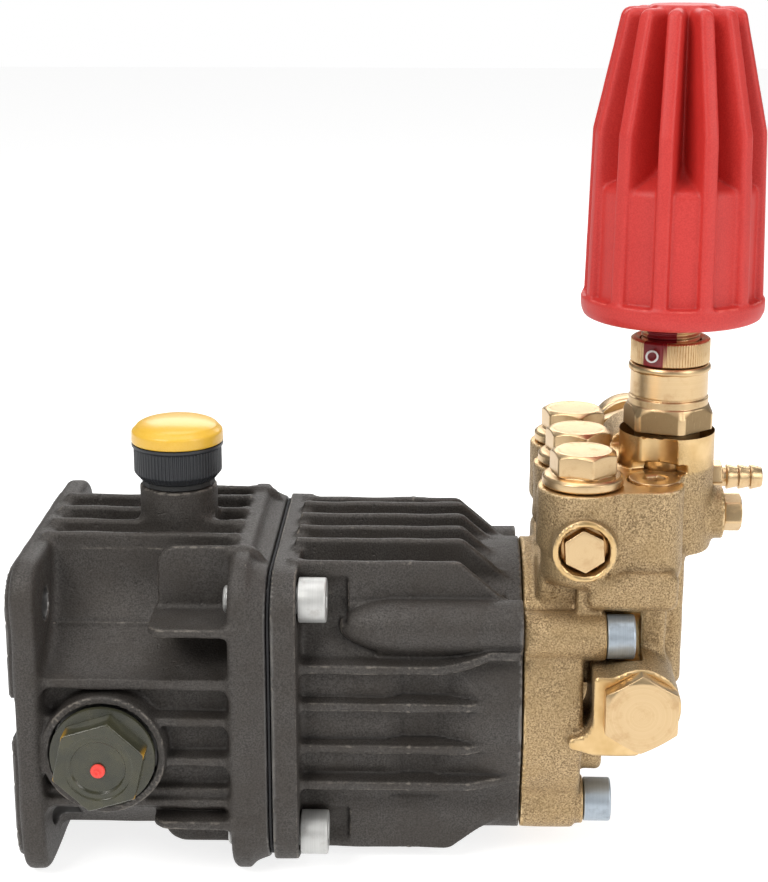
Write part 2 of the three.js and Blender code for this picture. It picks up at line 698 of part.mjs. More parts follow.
// ---------------------------------------------------------------- brass head
function pumpHead() {
  const plateEnd = headStart + headPlate;
  const lobes = capRow.map((y) => rod('z', capLobe, blockBottom + 4, blockTop, capX, y));
  const upper = plateZ(
    roundedRect(blockRight - capX, 2 * blockReach, blockRound, (blockRight + capX) / 2, 0),
    blockBottom, blockTop,
  );
  const middle = block(headStart + 4, blockRight - 4, -27, 27, inletZ, blockBottom + 6);
  let body = join(
    roundCasting(headStart, plateEnd), upper, ...lobes, middle,
    rod('z', towerRadius, towerFoot, towerTop, towerX, 0),
    block(inletX - 1, blockRight + 2, -spineHalf, spineHalf, inletZ - 4.6, towerFoot + 1),
    rod('y', inletBossRadius, inletNear, inletFar, inletX, inletZ),
    block(plateEnd - 2, inletX, inletNear, inletNear + landWidth, landLow, landTop),
    rod('x', reliefBoss, towerX, towerX + reliefLength, 0, galleryZ),
    rod('x', barbBoss, towerX, towerX + barbLength, barbY, barbZ),
    rod('y', galleryBoss, -blockReach - 2, -20, capX, galleryZ),
    rod('y', outletBoss, 20, blockReach + 4, outletX, outletZ),
  );
  for (const [y, z] of headBolts) {
    body = join(body, rod('x', seatRadius, headStart, boltSeat(z), y, z));
  }
  for (const side of [-1, 1]) {
    body = join(body, rod('x', 6.6, plateEnd - 2, plateEnd + 6.5, side * capPitch, -13.9));
  }
  const bolts = headBolts.map(([y, z]) => rod('x', screwHoleRadius, headStart - 1, plateEnd + 20,
    y, z, coarse));
  const seats = headBolts.map(([y, z]) => rod('x', screwHeadDiameter / 2 + 0.8, boltSeat(z),
    boltSeat(z) + screwHeadHeight + 2.6, y, z));
  body = cut(body, ...bolts, ...seats);
  capRow.forEach((y, i) => {
    const station = stationOfCap[i];
    const outward = Math.sign(y) * 3.5;
    body = cut(
      body,
      rod('x', chamberRadius, headStart - 1, chamberEnd, station.y, station.z),
      rod('z', valvePocketRadius, dischargeFloor, blockTop + 1, capX, y),
      rod('z', capCollar + 0.5, blockTop, blockTop + 9, capX, y),
      rod('z', 2.4, station.z, dischargeFloor + 1, capX - 2.4, y - outward, coarse),
      rod('x', 3.6, chamberEnd - 1, suctionX, station.y, station.z, coarse),
      rod('z', 3, ...span(station.z, inletZ), suctionX, y + outward * 0.6, coarse),
    );
  });
  return cut(
    body,
    rod('y', galleryBore, -blockReach - 8, blockReach - 4, capX, galleryZ, coarse),
    rod('y', galleryBore + 1.7, -blockReach - 8, -blockReach + galleryRecess, capX, galleryZ),
    rod('y', inletThread + gap, -50, 50, inletX, inletZ),
    rod('x', 3, inletX - 12, inletX, 0, inletZ, coarse),
    rod('z', unloaderThread + gap, 61, towerTop + 5, towerX, 0),
    rod('z', 5.3, 44, 62, towerX, 0, coarse),
    rod('y', 4, -2, 50, outletX, outletZ, coarse),
    rod('y', outletThread + gap, 34, 50, outletX, outletZ),
    rod('x', 4.3, towerX, towerX + 30, 0, galleryZ, coarse),
    rod('z', socketPlugRadius + gap, blockTop - socketPlugHeight, blockTop + 0.1, socketX, socketY),
    rod('z', 5, blockTop - 12, blockTop - 3, socketX, socketY, coarse),
    rod('z', 11.3, blockTop, blockTop + 2.7, socketX, socketY - 0.6),
    rod('z', socketPlugRadius + 0.5, blockTop, towerTop + 1, socketX, socketY),
    rod('x', 2.8, towerX + 6, towerX + 20, barbY, barbZ, coarse),
  );
}

function addHead() {
  add('pump_head', pumpHead(), 'castBrass');
  capRow.forEach((y, i) => {
    const seat = blockTop + gap;
    const cap = join(
      rod('z', capCollar, seat, seat + capCollarHeight, capX, y),
      hexBar('z', capHex, seat + 2, seat + capHeight, capX, y),
      rod('z', valvePocketRadius - gap, dischargeFloor + 12, seat + 1, capX, y, coarse),
    );
    add(`valve_cap_${i + 1}`, cap, 'machinedBrass');
    const floor = dischargeFloor + gap;
    const poppet = join(
      rod('z', 6.2, floor, floor + 2, capX, y, coarse),
      rod('z', 2.4, floor + 1, floor + 8, capX, y, coarse),
    );
    add(`discharge_valve_${i + 1}`, poppet, 'steel');
    const { y: valveY, z: valveZ } = stationOfCap[i];
    const suctionSeat = chamberEnd - gap;
    add(`suction_valve_${i + 1}`, rod('x', 6, suctionSeat - 2, suctionSeat, valveY, valveZ, coarse),
      'steel');
  });
  const recess = -blockReach + galleryRecess - gap;
  const galleryPlug = join(
    hexBar('y', galleryPlugHex, recess - 3.4, recess, capX, galleryZ),
    rod('y', galleryBore - gap, recess - 1, recess + 3.6, capX, galleryZ, coarse),
  );
  add('gallery_plug', galleryPlug, 'machinedBrass');
  const port = inletNear - gap;
  const inletPlug = join(
    hexBar('y', 20.6, port - inletPlugHeight, port, inletX, inletZ),
    rod('y', inletThread, port - 1, port + 11, inletX, inletZ),
  );
  add('inlet_plug', inletPlug, 'machinedBrass');
  const socketSeat = blockTop - socketPlugHeight + gap;
  const socketPlug = cut(
    rod('z', socketPlugRadius, socketSeat, socketSeat + socketPlugHeight, socketX, socketY),
    hexBar('z', 5, socketSeat + 1.2, socketSeat + 5, socketX, socketY),
  );
  add('socket_plug', socketPlug, 'machinedBrass');
  const reliefSeat = towerX + reliefLength + gap;
  const relief = join(
    hexBar('x', 10, reliefSeat, reliefSeat + 5.2, 0, galleryZ),
    rod('x', 4, reliefSeat - 8, reliefSeat + 1, 0, galleryZ, coarse),
  );
  add('relief_plug', relief, 'machinedBrass');
  const barbSeat = towerX + barbLength + gap;
  const barb = cut(
    join(
      hexBar('x', 9, barbSeat, barbSeat + 4, barbY, barbZ),
      rod('x', 2.5, barbSeat - 5, barbSeat + 1, barbY, barbZ, coarse),
      turned('x', [[0, barbSeat + 3], [3.2, barbSeat + 3], [3.2, barbSeat + 7], [3.8, barbSeat + 7.2],
        [3.2, barbSeat + 9], [3.2, barbSeat + 10.4], [3.8, barbSeat + 10.6], [3.2, barbSeat + 12.4],
        [3.2, barbSeat + 13.4], [3.8, barbSeat + 13.6], [3, barbSeat + 16.6], [0, barbSeat + 16.6]],
      barbY, barbZ, coarse),
    ),
    rod('x', 1.6, barbSeat - 6, barbSeat + 20, barbY, barbZ, coarse),
  );
  add('hose_barb', barb, 'machinedBrass');
  const outletSeat = blockReach + 4 + gap;
  const outlet = cut(
    join(
      hexBar('y', portHex, outletSeat, outletSeat + 6, outletX, outletZ),
      rod('y', outletThread, outletSeat - 7, outletSeat + 1, outletX, outletZ),
      rod('y', 9.4, outletSeat + 5, outletSeat + 11, outletX, outletZ),
      rod('y', 12.3, outletSeat + 9, outletSeat + 20, outletX, outletZ),
    ),
    rod('y', 4.5, outletSeat - 8, outletSeat + 22, outletX, outletZ, coarse),
    rod('y', 9.4, outletSeat + 17.6, outletSeat + 22, outletX, outletZ),
  );
  add('outlet_fitting', outlet, 'machinedBrass');
  const inletSeat = inletFar + gap;
  const inlet = cut(
    join(
      hexBar('y', portHex, inletSeat, inletSeat + 6, inletX, inletZ),
      rod('y', inletThread, inletSeat - 10, inletSeat + 1, inletX, inletZ),
      rod('y', 13.2, inletSeat + 5, inletSeat + 17, inletX, inletZ),
    ),
    rod('y', 5.5, inletSeat - 12, inletSeat + 20, inletX, inletZ, coarse),
  );
  add('inlet_fitting', inlet, 'machinedBrass');
}

// ---------------------------------------------------------------- unloader and pressure knob
function addUnloader() {
  const seat = towerTop + gap;
  const neckTop = stemTop + neckHeight;
  const body = cut(
    join(
      hexBar('z', unloaderHex, seat, seat + unloaderHexHeight, towerX, 0),
      rod('z', unloaderThread, 62.5, seat + 1, towerX, 0),
      rod('z', stemRadius, seat + unloaderHexHeight - 1, stemTop, towerX, 0),
      rod('z', neckRadius, stemTop - 1, neckTop, towerX, 0),
    ),
    rod('z', springBore, 62, stemTop - 2, towerX, 0),
    rod('z', pinBore, stemTop - 3, neckTop + 1, towerX, 0, coarse),
  );
  add('unloader_body', body, 'machinedBrass');
  const nutStart = stemTop + gap;
  const screwY = -11.6;
  const nut = cut(
    ring('z', neckRadius + gap, stemRadius + 0.2, nutStart, nutStart + stopNutHeight, towerX, 0),
    rod('y', 1.9, -20, -9.6, towerX - 6.4, nutStart + 3.7, coarse),
  );
  add('stop_nut', nut, 'machinedBrass');
  add('stop_nut_screw', rod('y', 1.6, screwY, screwY + 1.6, towerX - 6.4, nutStart + 3.7, coarse),
    'zinc');
  const piston = join(
    rod('z', 4.9, 50, 63, towerX, 0, coarse), rod('z', 6.1, 64, 67, towerX, 0, coarse),
    rod('z', 3, 62, 65, towerX, 0, coarse),
  );
  add('unloader_piston', piston, 'steel');
  const buttonStart = stemTop - 11;
  const pinTop = neckTop + 4;
  const button = join(
    rod('z', 6.1, buttonStart, buttonStart + 3.4, towerX, 0, coarse),
    rod('z', 3.3, buttonStart + 3, pinTop, towerX, 0, coarse),
  );
  add('spring_button', button, 'steel');
  add('unloader_spring', coil('z', 5, 0.9, 67 + gap, buttonStart - gap, 5, towerX, 0),
    'springSteel');
  const top = knobBottom + knobHeight;
  let knob = turned('z', [
    [0, knobBottom], [knobBandRadius, knobBottom], [knobBandRadius, knobBottom + knobBandHeight],
    [knobPanelRadius, knobBottom + knobBandHeight + 1],
    [knobPanelRadius - 0.8, knobBottom + knobPanelHeight],
    [knobCore, knobBottom + knobPanelHeight + 4], [knobCore, top - 0.6], [0, top - 0.6],
  ], towerX, 0, large);
  const ribRoot = 4;
  const rib = outline([
    [ribRoot, knobBandHeight - 1.5], [knobBandRadius - 0.2, knobBandHeight - 1.5], knobKink,
    [knobTopRadius, knobHeight], [ribRoot, knobHeight],
  ]);
  for (let i = 0; i < knobRibs; i += 1) {
    const blade = new THREE.ExtrudeGeometry(rib, { depth: knobRibThick, bevelEnabled: false });
    blade.rotateX(Math.PI / 2).translate(0, knobRibThick / 2, 0);
    blade.rotateZ(((i + 0.5) / knobRibs) * Math.PI * 2).translate(towerX, 0, knobBottom);
    knob = join(knob, solid(blade));
  }
  knob = cut(
    knob,
    rod('z', knobBore, knobBottom - 1, neckTop + 7, towerX, 0),
    rod('z', knobPinBore, neckTop + 6, neckTop + 26, towerX, 0, coarse),
  );
  const pin = rod('z', knobPinRadius, pinTop + gap, top - 2, towerX, 0, coarse);
  add('unloader_knob', join(knob, pin), 'redPlastic');
}

addGearcase();
addFiller();
addRotor();
addPlungers();
addHousing();
addHead();
addUnloader();

// The origin goes under the middle of the whole pump, on the surface that it stands on.
const box = new THREE.Box3().setFromObject(pump);
const centre = box.getCenter(new THREE.Vector3());
pump.position.set(-centre.x, -centre.y, -box.min.z);
const part = new THREE.Group();
part.add(pump);
part.updateMatrixWorld(true);

export default part;
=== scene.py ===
import math

import bpy
import numpy as np
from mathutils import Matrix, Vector


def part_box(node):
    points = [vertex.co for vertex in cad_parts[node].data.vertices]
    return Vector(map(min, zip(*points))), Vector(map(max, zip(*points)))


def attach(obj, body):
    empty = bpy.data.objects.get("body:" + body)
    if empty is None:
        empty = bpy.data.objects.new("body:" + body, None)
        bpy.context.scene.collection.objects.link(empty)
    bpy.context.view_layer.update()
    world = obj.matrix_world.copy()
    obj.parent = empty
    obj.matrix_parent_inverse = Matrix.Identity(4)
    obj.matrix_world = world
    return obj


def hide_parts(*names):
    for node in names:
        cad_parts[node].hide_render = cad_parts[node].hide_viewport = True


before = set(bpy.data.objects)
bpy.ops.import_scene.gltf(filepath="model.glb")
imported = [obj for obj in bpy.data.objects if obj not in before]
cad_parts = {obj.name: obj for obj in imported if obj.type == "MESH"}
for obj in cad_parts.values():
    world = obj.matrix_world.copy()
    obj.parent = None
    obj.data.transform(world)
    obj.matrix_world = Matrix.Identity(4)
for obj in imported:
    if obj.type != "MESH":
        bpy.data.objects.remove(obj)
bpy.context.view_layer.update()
print("frame loaded:", len(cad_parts), "nodes")

# Shapes are written in millimetres with the engine flange at x = 0 and the shaft axis at y = z = 0.
shaftLow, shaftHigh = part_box("drive_shaft")
origin = np.array([shaftLow.x, (shaftLow.y + shaftHigh.y) / 2, (shaftLow.z + shaftHigh.z) / 2])
mm = 0.001


# Camera place in millimetres, angles in degrees, and its lens and sensor.
camera = {
    "place": (121.5, -549.3, 225.6), "down": 15.5, "turn": 1.785, "lens": 77.76, "sensor": 36.0,
}


# Pump millimetres to metres in the shared frame: scale, then add the origin.
def toFrame(points):
    return np.asarray(points, float) * mm + origin


# Stands the camera at its place, looking down and turned by its two angles.
def addCamera():
    data = bpy.data.cameras.new("studioCamera")
    data.lens = camera["lens"]
    data.sensor_width = camera["sensor"]
    data.clip_start, data.clip_end = 0.01, 20
    made = bpy.data.objects.new("studioCamera", data)
    bpy.context.scene.collection.objects.link(made)
    made.location = toFrame(camera["place"])
    made.rotation_euler = (math.radians(90 - camera["down"]), 0, math.radians(camera["turn"]))
    bpy.context.scene.camera = made


# Floor in metres, and each light's place, size, watts and colour; all aim at one height.
studio = {
    "floorSize": 6.0, "floorTone": 0.5, "floorGlow": 0.8, "aim": 0.1,
    "lights": {
        "keyLeft": ((-0.75, -0.85, 1.05), (0.7, 0.5), 10.5, (1.0, 0.985, 0.96)),
        "fillRight": ((0.95, -0.75, 0.65), (0.5, 0.8), 5.0, (1.0, 0.99, 0.975)),
        "topBox": ((0.0, 0.05, 1.25), (1.0, 0.8), 7.0, (1.0, 1.0, 1.0)),
        "backRim": ((0.1, 1.1, 0.75), (1.2, 0.5), 6.0, (1.0, 1.0, 1.0)),
    },
}
# The first two bands are the bottom and the top of the room.
room = {
    "strength": 0.5, "patchScale": 1.6,
    "bands": ((0.0, (0.75, 0.75, 0.75)), (1.0, (1, 1, 1)), (0.52, (0.32, 0.31, 0.30)),
              (0.68, (0.85, 0.85, 0.85))),
    "patches": {"From Min": 0.40, "From Max": 0.56, "To Min": 0.25, "To Max": 1.25},
}


# A glowing pale floor and four soft rectangular lights that face the pump.
def addStudio():
    size = studio["floorSize"] / 2
    data = bpy.data.meshes.new("studioFloor")
    data.from_pydata([(-size, -size, 0), (size, -size, 0), (size, size, 0), (-size, size, 0)], [],
                     [(0, 1, 2, 3)])
    floor = bpy.data.objects.new("studioFloor", data)
    bpy.context.scene.collection.objects.link(floor)
    paint = bpy.data.materials.new("floorPaint")
    paint.use_nodes = True
    shader = paint.node_tree.nodes["Principled BSDF"]
    tone = studio["floorTone"]
    shader.inputs["Base Color"].default_value = (tone, tone, tone, 1)
    shader.inputs["Roughness"].default_value = 0.9
    shader.inputs["Specular IOR Level"].default_value = 0.1
    shader.inputs["Emission Color"].default_value = (1, 1, 1, 1)
    shader.inputs["Emission Strength"].default_value = studio["floorGlow"]
    data.materials.append(paint)
    middle = Vector((0, 0, studio["aim"]))
    for name, (place, size, watts, colour) in studio["lights"].items():
        lamp = bpy.data.lights.new(name, "AREA")
        lamp.shape = "RECTANGLE"
        lamp.size, lamp.size_y = size
        lamp.energy = watts
        lamp.color = colour
        made = bpy.data.objects.new(name, lamp)
        made.location = place
        made.rotation_euler = (middle - Vector(place)).to_track_quat("-Z", "Y").to_euler()
        bpy.context.scene.collection.objects.link(made)
    bpy.context.scene.view_settings.view_transform = "Standard"
    bpy.context.scene.view_settings.look = "None"


# The room that the metal reflects: grey bands by height, times large soft patches of noise.
# The camera itself sees plain white.
def addRoom():
    world = bpy.data.worlds.new("studioWorld")
    bpy.context.scene.world = world
    world.use_nodes = True
    tree = world.node_tree
    tree.nodes.clear()
    out = tree.nodes.new("ShaderNodeOutputWorld")
    seen = tree.nodes.new("ShaderNodeBackground")
    seen.inputs["Strength"].default_value = 1.0
    seen.inputs["Color"].default_value = (1, 1, 1, 1)
    around = tree.nodes.new("ShaderNodeBackground")
    around.inputs["Strength"].default_value = room["strength"]
    place = tree.nodes.new("ShaderNodeTexCoord")
    parts = tree.nodes.new("ShaderNodeSeparateXYZ")
    ramp = tree.nodes.new("ShaderNodeValToRGB")
    stops = ramp.color_ramp.elements
    for i, (height, colour) in enumerate(room["bands"]):
        stop = stops[i] if i < 2 else stops.new(height)
        stop.position = height
        stop.color = (*colour, 1)
    shift = tree.nodes.new("ShaderNodeMapRange")
    shift.inputs["From Min"].default_value = -1
    patches = tree.nodes.new("ShaderNodeTexNoise")
    patches.inputs["Scale"].default_value = room["patchScale"]
    patches.inputs["Detail"].default_value = 0.0
    contrast = tree.nodes.new("ShaderNodeMapRange")
    for label, value in room["patches"].items():
        contrast.inputs[label].default_value = value
    scale = tree.nodes.new("ShaderNodeVectorMath")
    scale.operation = "SCALE"
    path = tree.nodes.new("ShaderNodeLightPath")
    mix = tree.nodes.new("ShaderNodeMixShader")
    for start, end in (
            (place.outputs["Generated"], parts.inputs[0]),
            (parts.outputs["Z"], shift.inputs["Value"]),
            (shift.outputs["Result"], ramp.inputs[0]),
            (place.outputs["Generated"], patches.inputs["Vector"]),
            (patches.outputs["Fac"], contrast.inputs["Value"]),
            (ramp.outputs["Color"], scale.inputs[0]),
            (contrast.outputs["Result"], scale.inputs["Scale"]),
            (scale.outputs[0], around.inputs["Color"]),
            (path.outputs["Is Camera Ray"], mix.inputs[0]),
            (around.outputs[0], mix.inputs[1]),
            (seen.outputs[0], mix.inputs[2]),
            (mix.outputs[0], out.inputs[0])):
        tree.links.new(start, end)


addCamera()
addStudio()
addRoom()
print("camera and studio made")


# Puts millimetre points and quad or triangle arrays into one mesh object, with its own corner
# normals and named vertex values where they are given.
def makePiece(name, points, faces, normals=None, values=None):
    data = bpy.data.meshes.new(name)
    points = toFrame(points)
    counts = np.concatenate([np.full(len(f), f.shape[1], np.int32) for f in faces])
    corners = np.concatenate([f.ravel() for f in faces]).astype(np.int32)
    data.vertices.add(len(points))
    data.vertices.foreach_set("co", points.astype(np.float32).ravel())
    data.loops.add(len(corners))
    data.loops.foreach_set("vertex_index", corners)
    data.polygons.add(len(counts))
    starts = np.concatenate([[0], np.cumsum(counts)[:-1]]).astype(np.int32)
    data.polygons.foreach_set("loop_start", starts)
    data.polygons.foreach_set("use_smooth", np.ones(len(counts), bool))
    data.update(calc_edges=True)
    data.validate()
    for label, array in (values or {}).items():
        kind = "FLOAT_VECTOR" if array.ndim == 2 else "FLOAT"
        spot = data.attributes.new(label, kind, "POINT")
        key = "vector" if array.ndim == 2 else "value"
        spot.data.foreach_set(key, array.astype(np.float32).ravel())
    if normals is not None:
        data.normals_split_custom_set_from_vertices(normals.astype(np.float32))
    made = bpy.data.objects.new(name, data)
    bpy.context.scene.collection.objects.link(made)
    return made


# Distances to simple shapes, on whole arrays p = (x, y, z). Negative is inside.


# The smaller of two distances, with a fillet about k wide where they meet.
def softMin(a, b, k):
    h = np.maximum(k - np.abs(a - b), 0) / k
    return np.minimum(a, b) - h * h * k / 4


# The larger of two distances, with a rounded edge about k wide.
def softMax(a, b, k):
    return -softMin(-a, -b, k)


# A flat outline's distance pushed along one axis from low to high, its rims rounded by edge.
def pressed(flat, along, low, high, edge):
    cap = np.abs(along - (low + high) / 2) - (high - low) / 2 + edge
    side = flat + edge
    outside = np.sqrt(np.maximum(side, 0) ** 2 + np.maximum(cap, 0) ** 2)
    return outside + np.minimum(np.maximum(side, cap), 0) - edge


# Distance to a rectangle centred at 0 with round corners.
def roundBox2(u, v, halfU, halfV, corner):
    a, b = np.abs(u) - halfU + corner, np.abs(v) - halfV + corner
    outside = np.sqrt(np.maximum(a, 0) ** 2 + np.maximum(b, 0) ** 2)
    return outside + np.minimum(np.maximum(a, b), 0) - corner


# Distance to a block between two corners, its edges rounded.
def brick(p, low, high, edge=0.8):
    total, inner = 0, -1e9
    for c, a, b in zip(p, low, high):
        q = np.abs(c - (a + b) / 2) - (b - a) / 2 + edge
        total = total + np.maximum(q, 0) ** 2
        inner = np.maximum(inner, q)
    return np.sqrt(total) + np.minimum(inner, 0) - edge


otherTwo = {"x": (1, 2), "y": (0, 2), "z": (0, 1)}


# Distance to a round bar along an axis; radius may be an array.
def bar(p, axis, u, v, radius, low, high, edge=0.6):
    i, j = otherTwo[axis]
    flat = np.hypot(p[i] - u, p[j] - v) - radius
    return pressed(flat, p["xyz".index(axis)], low, high, edge)


# Three crossed sine waves: the slow unevenness of a sand casting.
def waviness(p, height, length):
    x, y, z = (c * (2 * np.pi / length) for c in p)
    return height * (np.sin(x + 1.3 * np.sin(y * 0.7)) * np.sin(y * 1.1 + 0.9 * np.sin(z * 0.8))
                     + np.sin(z * 1.2 + 1.1 * np.sin(x * 0.6)) * np.sin(x * 0.9 + 2))


# Surface net: samples the distance on a grid, puts one vertex in each cell that the surface
# crosses, at the mean of its edge crossings, joins the four cells around each crossed edge, and
# slides the vertices down the distance's slope onto the surface. Gives points, quads, outward
# normals and how sharply the surface bends outward.
def netOf(field, low, high, step):
    low = np.asarray(low, float)
    counts = np.ceil((np.asarray(high, float) - low) / step).astype(int) + 1
    axes = [(low[i] + step * np.arange(counts[i])).astype(np.float32) for i in range(3)]
    p = np.meshgrid(*axes, indexing="ij")
    level = field(p).astype(np.float32)
    nx, ny, nz = level.shape
    total = np.zeros((3, nx - 1, ny - 1, nz - 1), np.float32)
    hits = np.zeros((nx - 1, ny - 1, nz - 1), np.float32)
    crossings = []
    for axis in range(3):
        a = level.take(range(level.shape[axis] - 1), axis)
        b = level.take(range(1, level.shape[axis]), axis)
        crossed = (a < 0) != (b < 0)
        t = np.where(crossed, a / np.where(crossed, a - b, 1), 0).astype(np.float32)
        i, j = [k for k in range(3) if k != axis]
        for di in (0, 1):
            for dj in (0, 1):
                view = [slice(None)] * 3
                view[i] = slice(di, level.shape[i] - 1 + di)
                view[j] = slice(dj, level.shape[j] - 1 + dj)
                view = tuple(view)
                here = crossed[view]
                hits += here
                total[axis] += np.where(here, t[view], 0)
                total[i] += here * di
                total[j] += here * dj
        crossings.append((crossed, a < 0))
    active = hits > 0
    index = np.full(active.shape, -1, np.int32)
    index[active] = np.arange(active.sum())
    cells = np.argwhere(active)
    points = low + (cells + (total[:, active] / hits[active]).T) * step
    quads = []
    for axis in range(3):
        crossed, startsInside = crossings[axis]
        i, j = (axis + 1) % 3, (axis + 2) % 3
        inner = [slice(None)] * 3
        inner[i] = slice(1, -1)
        inner[j] = slice(1, -1)
        spots = np.argwhere(crossed[tuple(inner)])
        spots[:, i] += 1
        spots[:, j] += 1
        ring = []
        for di, dj in ((-1, -1), (0, -1), (0, 0), (-1, 0)):
            cell = spots.copy()
            cell[:, i] += di
            cell[:, j] += dj
            ring.append(index[tuple(cell.T)])
        ring = np.stack(ring, 1)
        outward = startsInside[tuple(spots.T)]
        quads.append(np.where(outward[:, None], ring, ring[:, ::-1]))
    quads = np.concatenate(quads)
    for _ in range(3):
        slope, height, _ = slopeOf(field, points, 0.25 * step)
        points = points - np.clip(height, -step, step)[:, None] * slope
    normals, _, bend = slopeOf(field, points, 0.6)
    return points, quads, normals, bend


# Central differences of the distance: unit slope, distance divided by the slope's size, and the
# mean of the six neighbours less the middle, which is the outward bend.
def slopeOf(field, points, reach):
    middle = field(tuple(points.T))
    slope, around = [], 0
    for axis in range(3):
        shift = np.zeros(3)
        shift[axis] = reach
        ahead, behind = field(tuple((points + shift).T)), field(tuple((points - shift).T))
        slope.append((ahead - behind) / (2 * reach))
        around = around + ahead + behind
    slope = np.stack(slope, 1)
    size = np.maximum(np.linalg.norm(slope, axis=1), 0.2)
    return slope / size[:, None], middle / size, (around - 6 * middle) / reach


# A casting: rough outer shape less the machining tools. Machined faces are where the tools' own
# surface is; edges that bend outward get wear and painted highlight, and creases that bend
# inward get painted shade.
def castPiece(name, castField, toolField, low, high, step, toolEdge=0.5):
    def whole(p):
        return softMax(castField(p), -toolField(p), toolEdge)
    points, quads, normals, bend = netOf(whole, low, high, step)
    tool = np.abs(toolField(tuple(points.T)))
    machined = np.clip(1 - (tool - 0.12) / 0.25, 0, 1)
    # Outward bends: edges lighter for wear and painted highlight.
    wearAndSheen = np.clip((bend - 0.25) / 0.9, 0, 1)
    # Inward bends: where painted shade darkens creases and corners.
    creaseShade = np.clip((-bend - 0.1) / 0.9, 0, 1)
    made = makePiece(name, points, [quads], normals, {
        "machined": machined, "wearAndSheen": wearAndSheen, "creaseShade": creaseShade,
    })
    print(name, "has", len(quads), "faces")
    return made


# Two directions across each axis, then the axis itself.
axisFrames = {
    "x": ((0, 1, 0), (0, 0, 1), (1, 0, 0)),
    "y": ((0, 0, 1), (1, 0, 0), (0, 1, 0)),
    "-y": ((1, 0, 0), (0, 0, 1), (0, -1, 0)),
    "z": ((1, 0, 0), (0, 1, 0), (0, 0, 1)),
}


# Distance from the axis to a hexagon across its flats, with its corners turned off at a radius
# of blunt half flats.
def sixSided(flats, angles, twist=0.0, blunt=1.138):
    turned = (angles - twist) % (np.pi / 3) - np.pi / 6
    full = flats / 2 / np.cos(turned)
    return softMin(full, flats / 2 * blunt, 0.25)


# Replaces each corner of a profile by a short curve: points on the two sides, blended by a
# quadratic curve whose middle control point is the corner. Corners may differ by angle.
def rounded(profile, rounds, steps=3):
    made = [profile[0]]
    for i in range(1, len(profile) - 1):
        reach = rounds[i] if np.ndim(rounds) else rounds
        corner = profile[i]
        if reach == 0:
            made.append(corner)
            continue
        sides = []
        for other in (profile[i - 1], profile[i + 1]):
            way = other - corner
            length = np.maximum(np.linalg.norm(way, axis=-1, keepdims=True), 1e-6)
            sides.append(corner + way / length * np.minimum(reach, 0.45 * length))
        for t in np.linspace(0, 1, steps + 1):
            made.append(sides[0] * (1 - t) ** 2 + corner * 2 * t * (1 - t) + sides[1] * t ** 2)
    made.append(profile[-1])
    return made


# Surface of revolution about an axis: each profile corner is (radius, height), where either may
# be an array over the angle, so six-sided and knurled rims are the same kind of surface. The
# marks value holds radius and height, for turning marks, and each extra value is its own
# formula of angle, radius and height.
def turnedPiece(name, axis, centre, corners, sides=96, edge=0.25, ring=False, steps=3,
                extra=None):
    angles = np.linspace(0, 2 * np.pi, sides, endpoint=False)
    profile = [np.stack(np.broadcast_arrays(np.asarray(r, float) + 0 * angles,
                                            np.asarray(h, float) + 0 * angles), -1)
               for r, h in corners]
    rows = np.stack(rounded(profile, edge, steps))
    u, v, w = (np.array(a, float) for a in axisFrames[axis])
    radius, height = rows[..., 0:1], rows[..., 1:2]
    across = np.cos(angles)[:, None] * u + np.sin(angles)[:, None] * v
    grid = np.array(centre, float) + radius * across + height * w
    count = len(rows)
    marks = np.concatenate([radius, height, 0 * height], -1) * mm
    firstPole = not ring and np.allclose(rows[0, :, 0], 0)
    lastPole = not ring and np.allclose(rows[-1, :, 0], 0)
    start, stop = (1 if firstPole else 0), (count - 1 if lastPole else count)
    body = grid[start:stop].reshape(-1, 3)
    bodyMarks = marks[start:stop].reshape(-1, 3)
    lines = stop - start
    j = np.arange(sides)
    nextJ = (j + 1) % sides
    i = np.arange(lines if ring else lines - 1)[:, None]
    nextI = (i + 1) % lines
    quads = np.stack([i * sides + j, i * sides + nextJ, nextI * sides + nextJ,
                      nextI * sides + j], -1).reshape(-1, 4)
    faces, poles, poleMarks = [quads], [], []
    if firstPole:
        poles.append(grid[0, 0])
        poleMarks.append(marks[0, 0])
        top = np.full(sides, lines * sides)
        faces.append(np.stack([top, nextJ, j], -1))
    if lastPole:
        poles.append(grid[-1, 0])
        poleMarks.append(marks[-1, 0])
        top = np.full(sides, lines * sides + len(poles) - 1)
        last = (lines - 1) * sides
        faces.append(np.stack([top, last + j, last + nextJ], -1))
    points = np.concatenate([body] + [np.array(poles).reshape(-1, 3)])
    allMarks = np.concatenate([bodyMarks] + [np.array(poleMarks).reshape(-1, 3)])
    turns = np.concatenate([np.tile(angles, lines), np.zeros(len(poleMarks))])
    values = {"marks": allMarks}
    for key, formula in (extra or {}).items():
        values[key] = formula(turns, allMarks[:, 0] / mm, allMarks[:, 1] / mm)
    made = makePiece(name, points, faces, None, values)
    made.data.set_sharp_from_angle(angle=math.radians(38))
    return made


# Equal steps of angle round one whole turn.
def ringAngles(sides):
    return np.linspace(0, 2 * np.pi, sides, endpoint=False)


# Height of a hexagon's upper rim where a cone cuts its corners: lower towards the corners.
def hexTop(flats, top, angles, twist, slope=0.5, start=0.94):
    reach = sixSided(flats, angles, twist)
    return top - np.maximum(reach - flats / 2 * start, 0) * slope


# A screw thread: rows along the axis whose radius is a triangle wave of height and angle.
def threadRows(radius, depth, low, high, pitch, angles, perTurn=6):
    heights = np.arange(low, high + 1e-6, pitch / perTurn)
    rows = []
    for h in heights:
        phase = (h / pitch - angles / (2 * np.pi)) % 1
        wave = np.abs(phase * 2 - 1)
        fade = min(1, (h - low) / pitch, (high - h) / pitch)
        rows.append((radius - depth * wave * max(fade, 0), h))
    return rows


# One shader node with its settings and its unlinked input values.
def addNode(tree, kind, inputs=None, **settings):
    node = tree.nodes.new(kind)
    for key, value in settings.items():
        setattr(node, key, value)
    for key, value in (inputs or {}).items():
        node.inputs[key].default_value = value
    return node


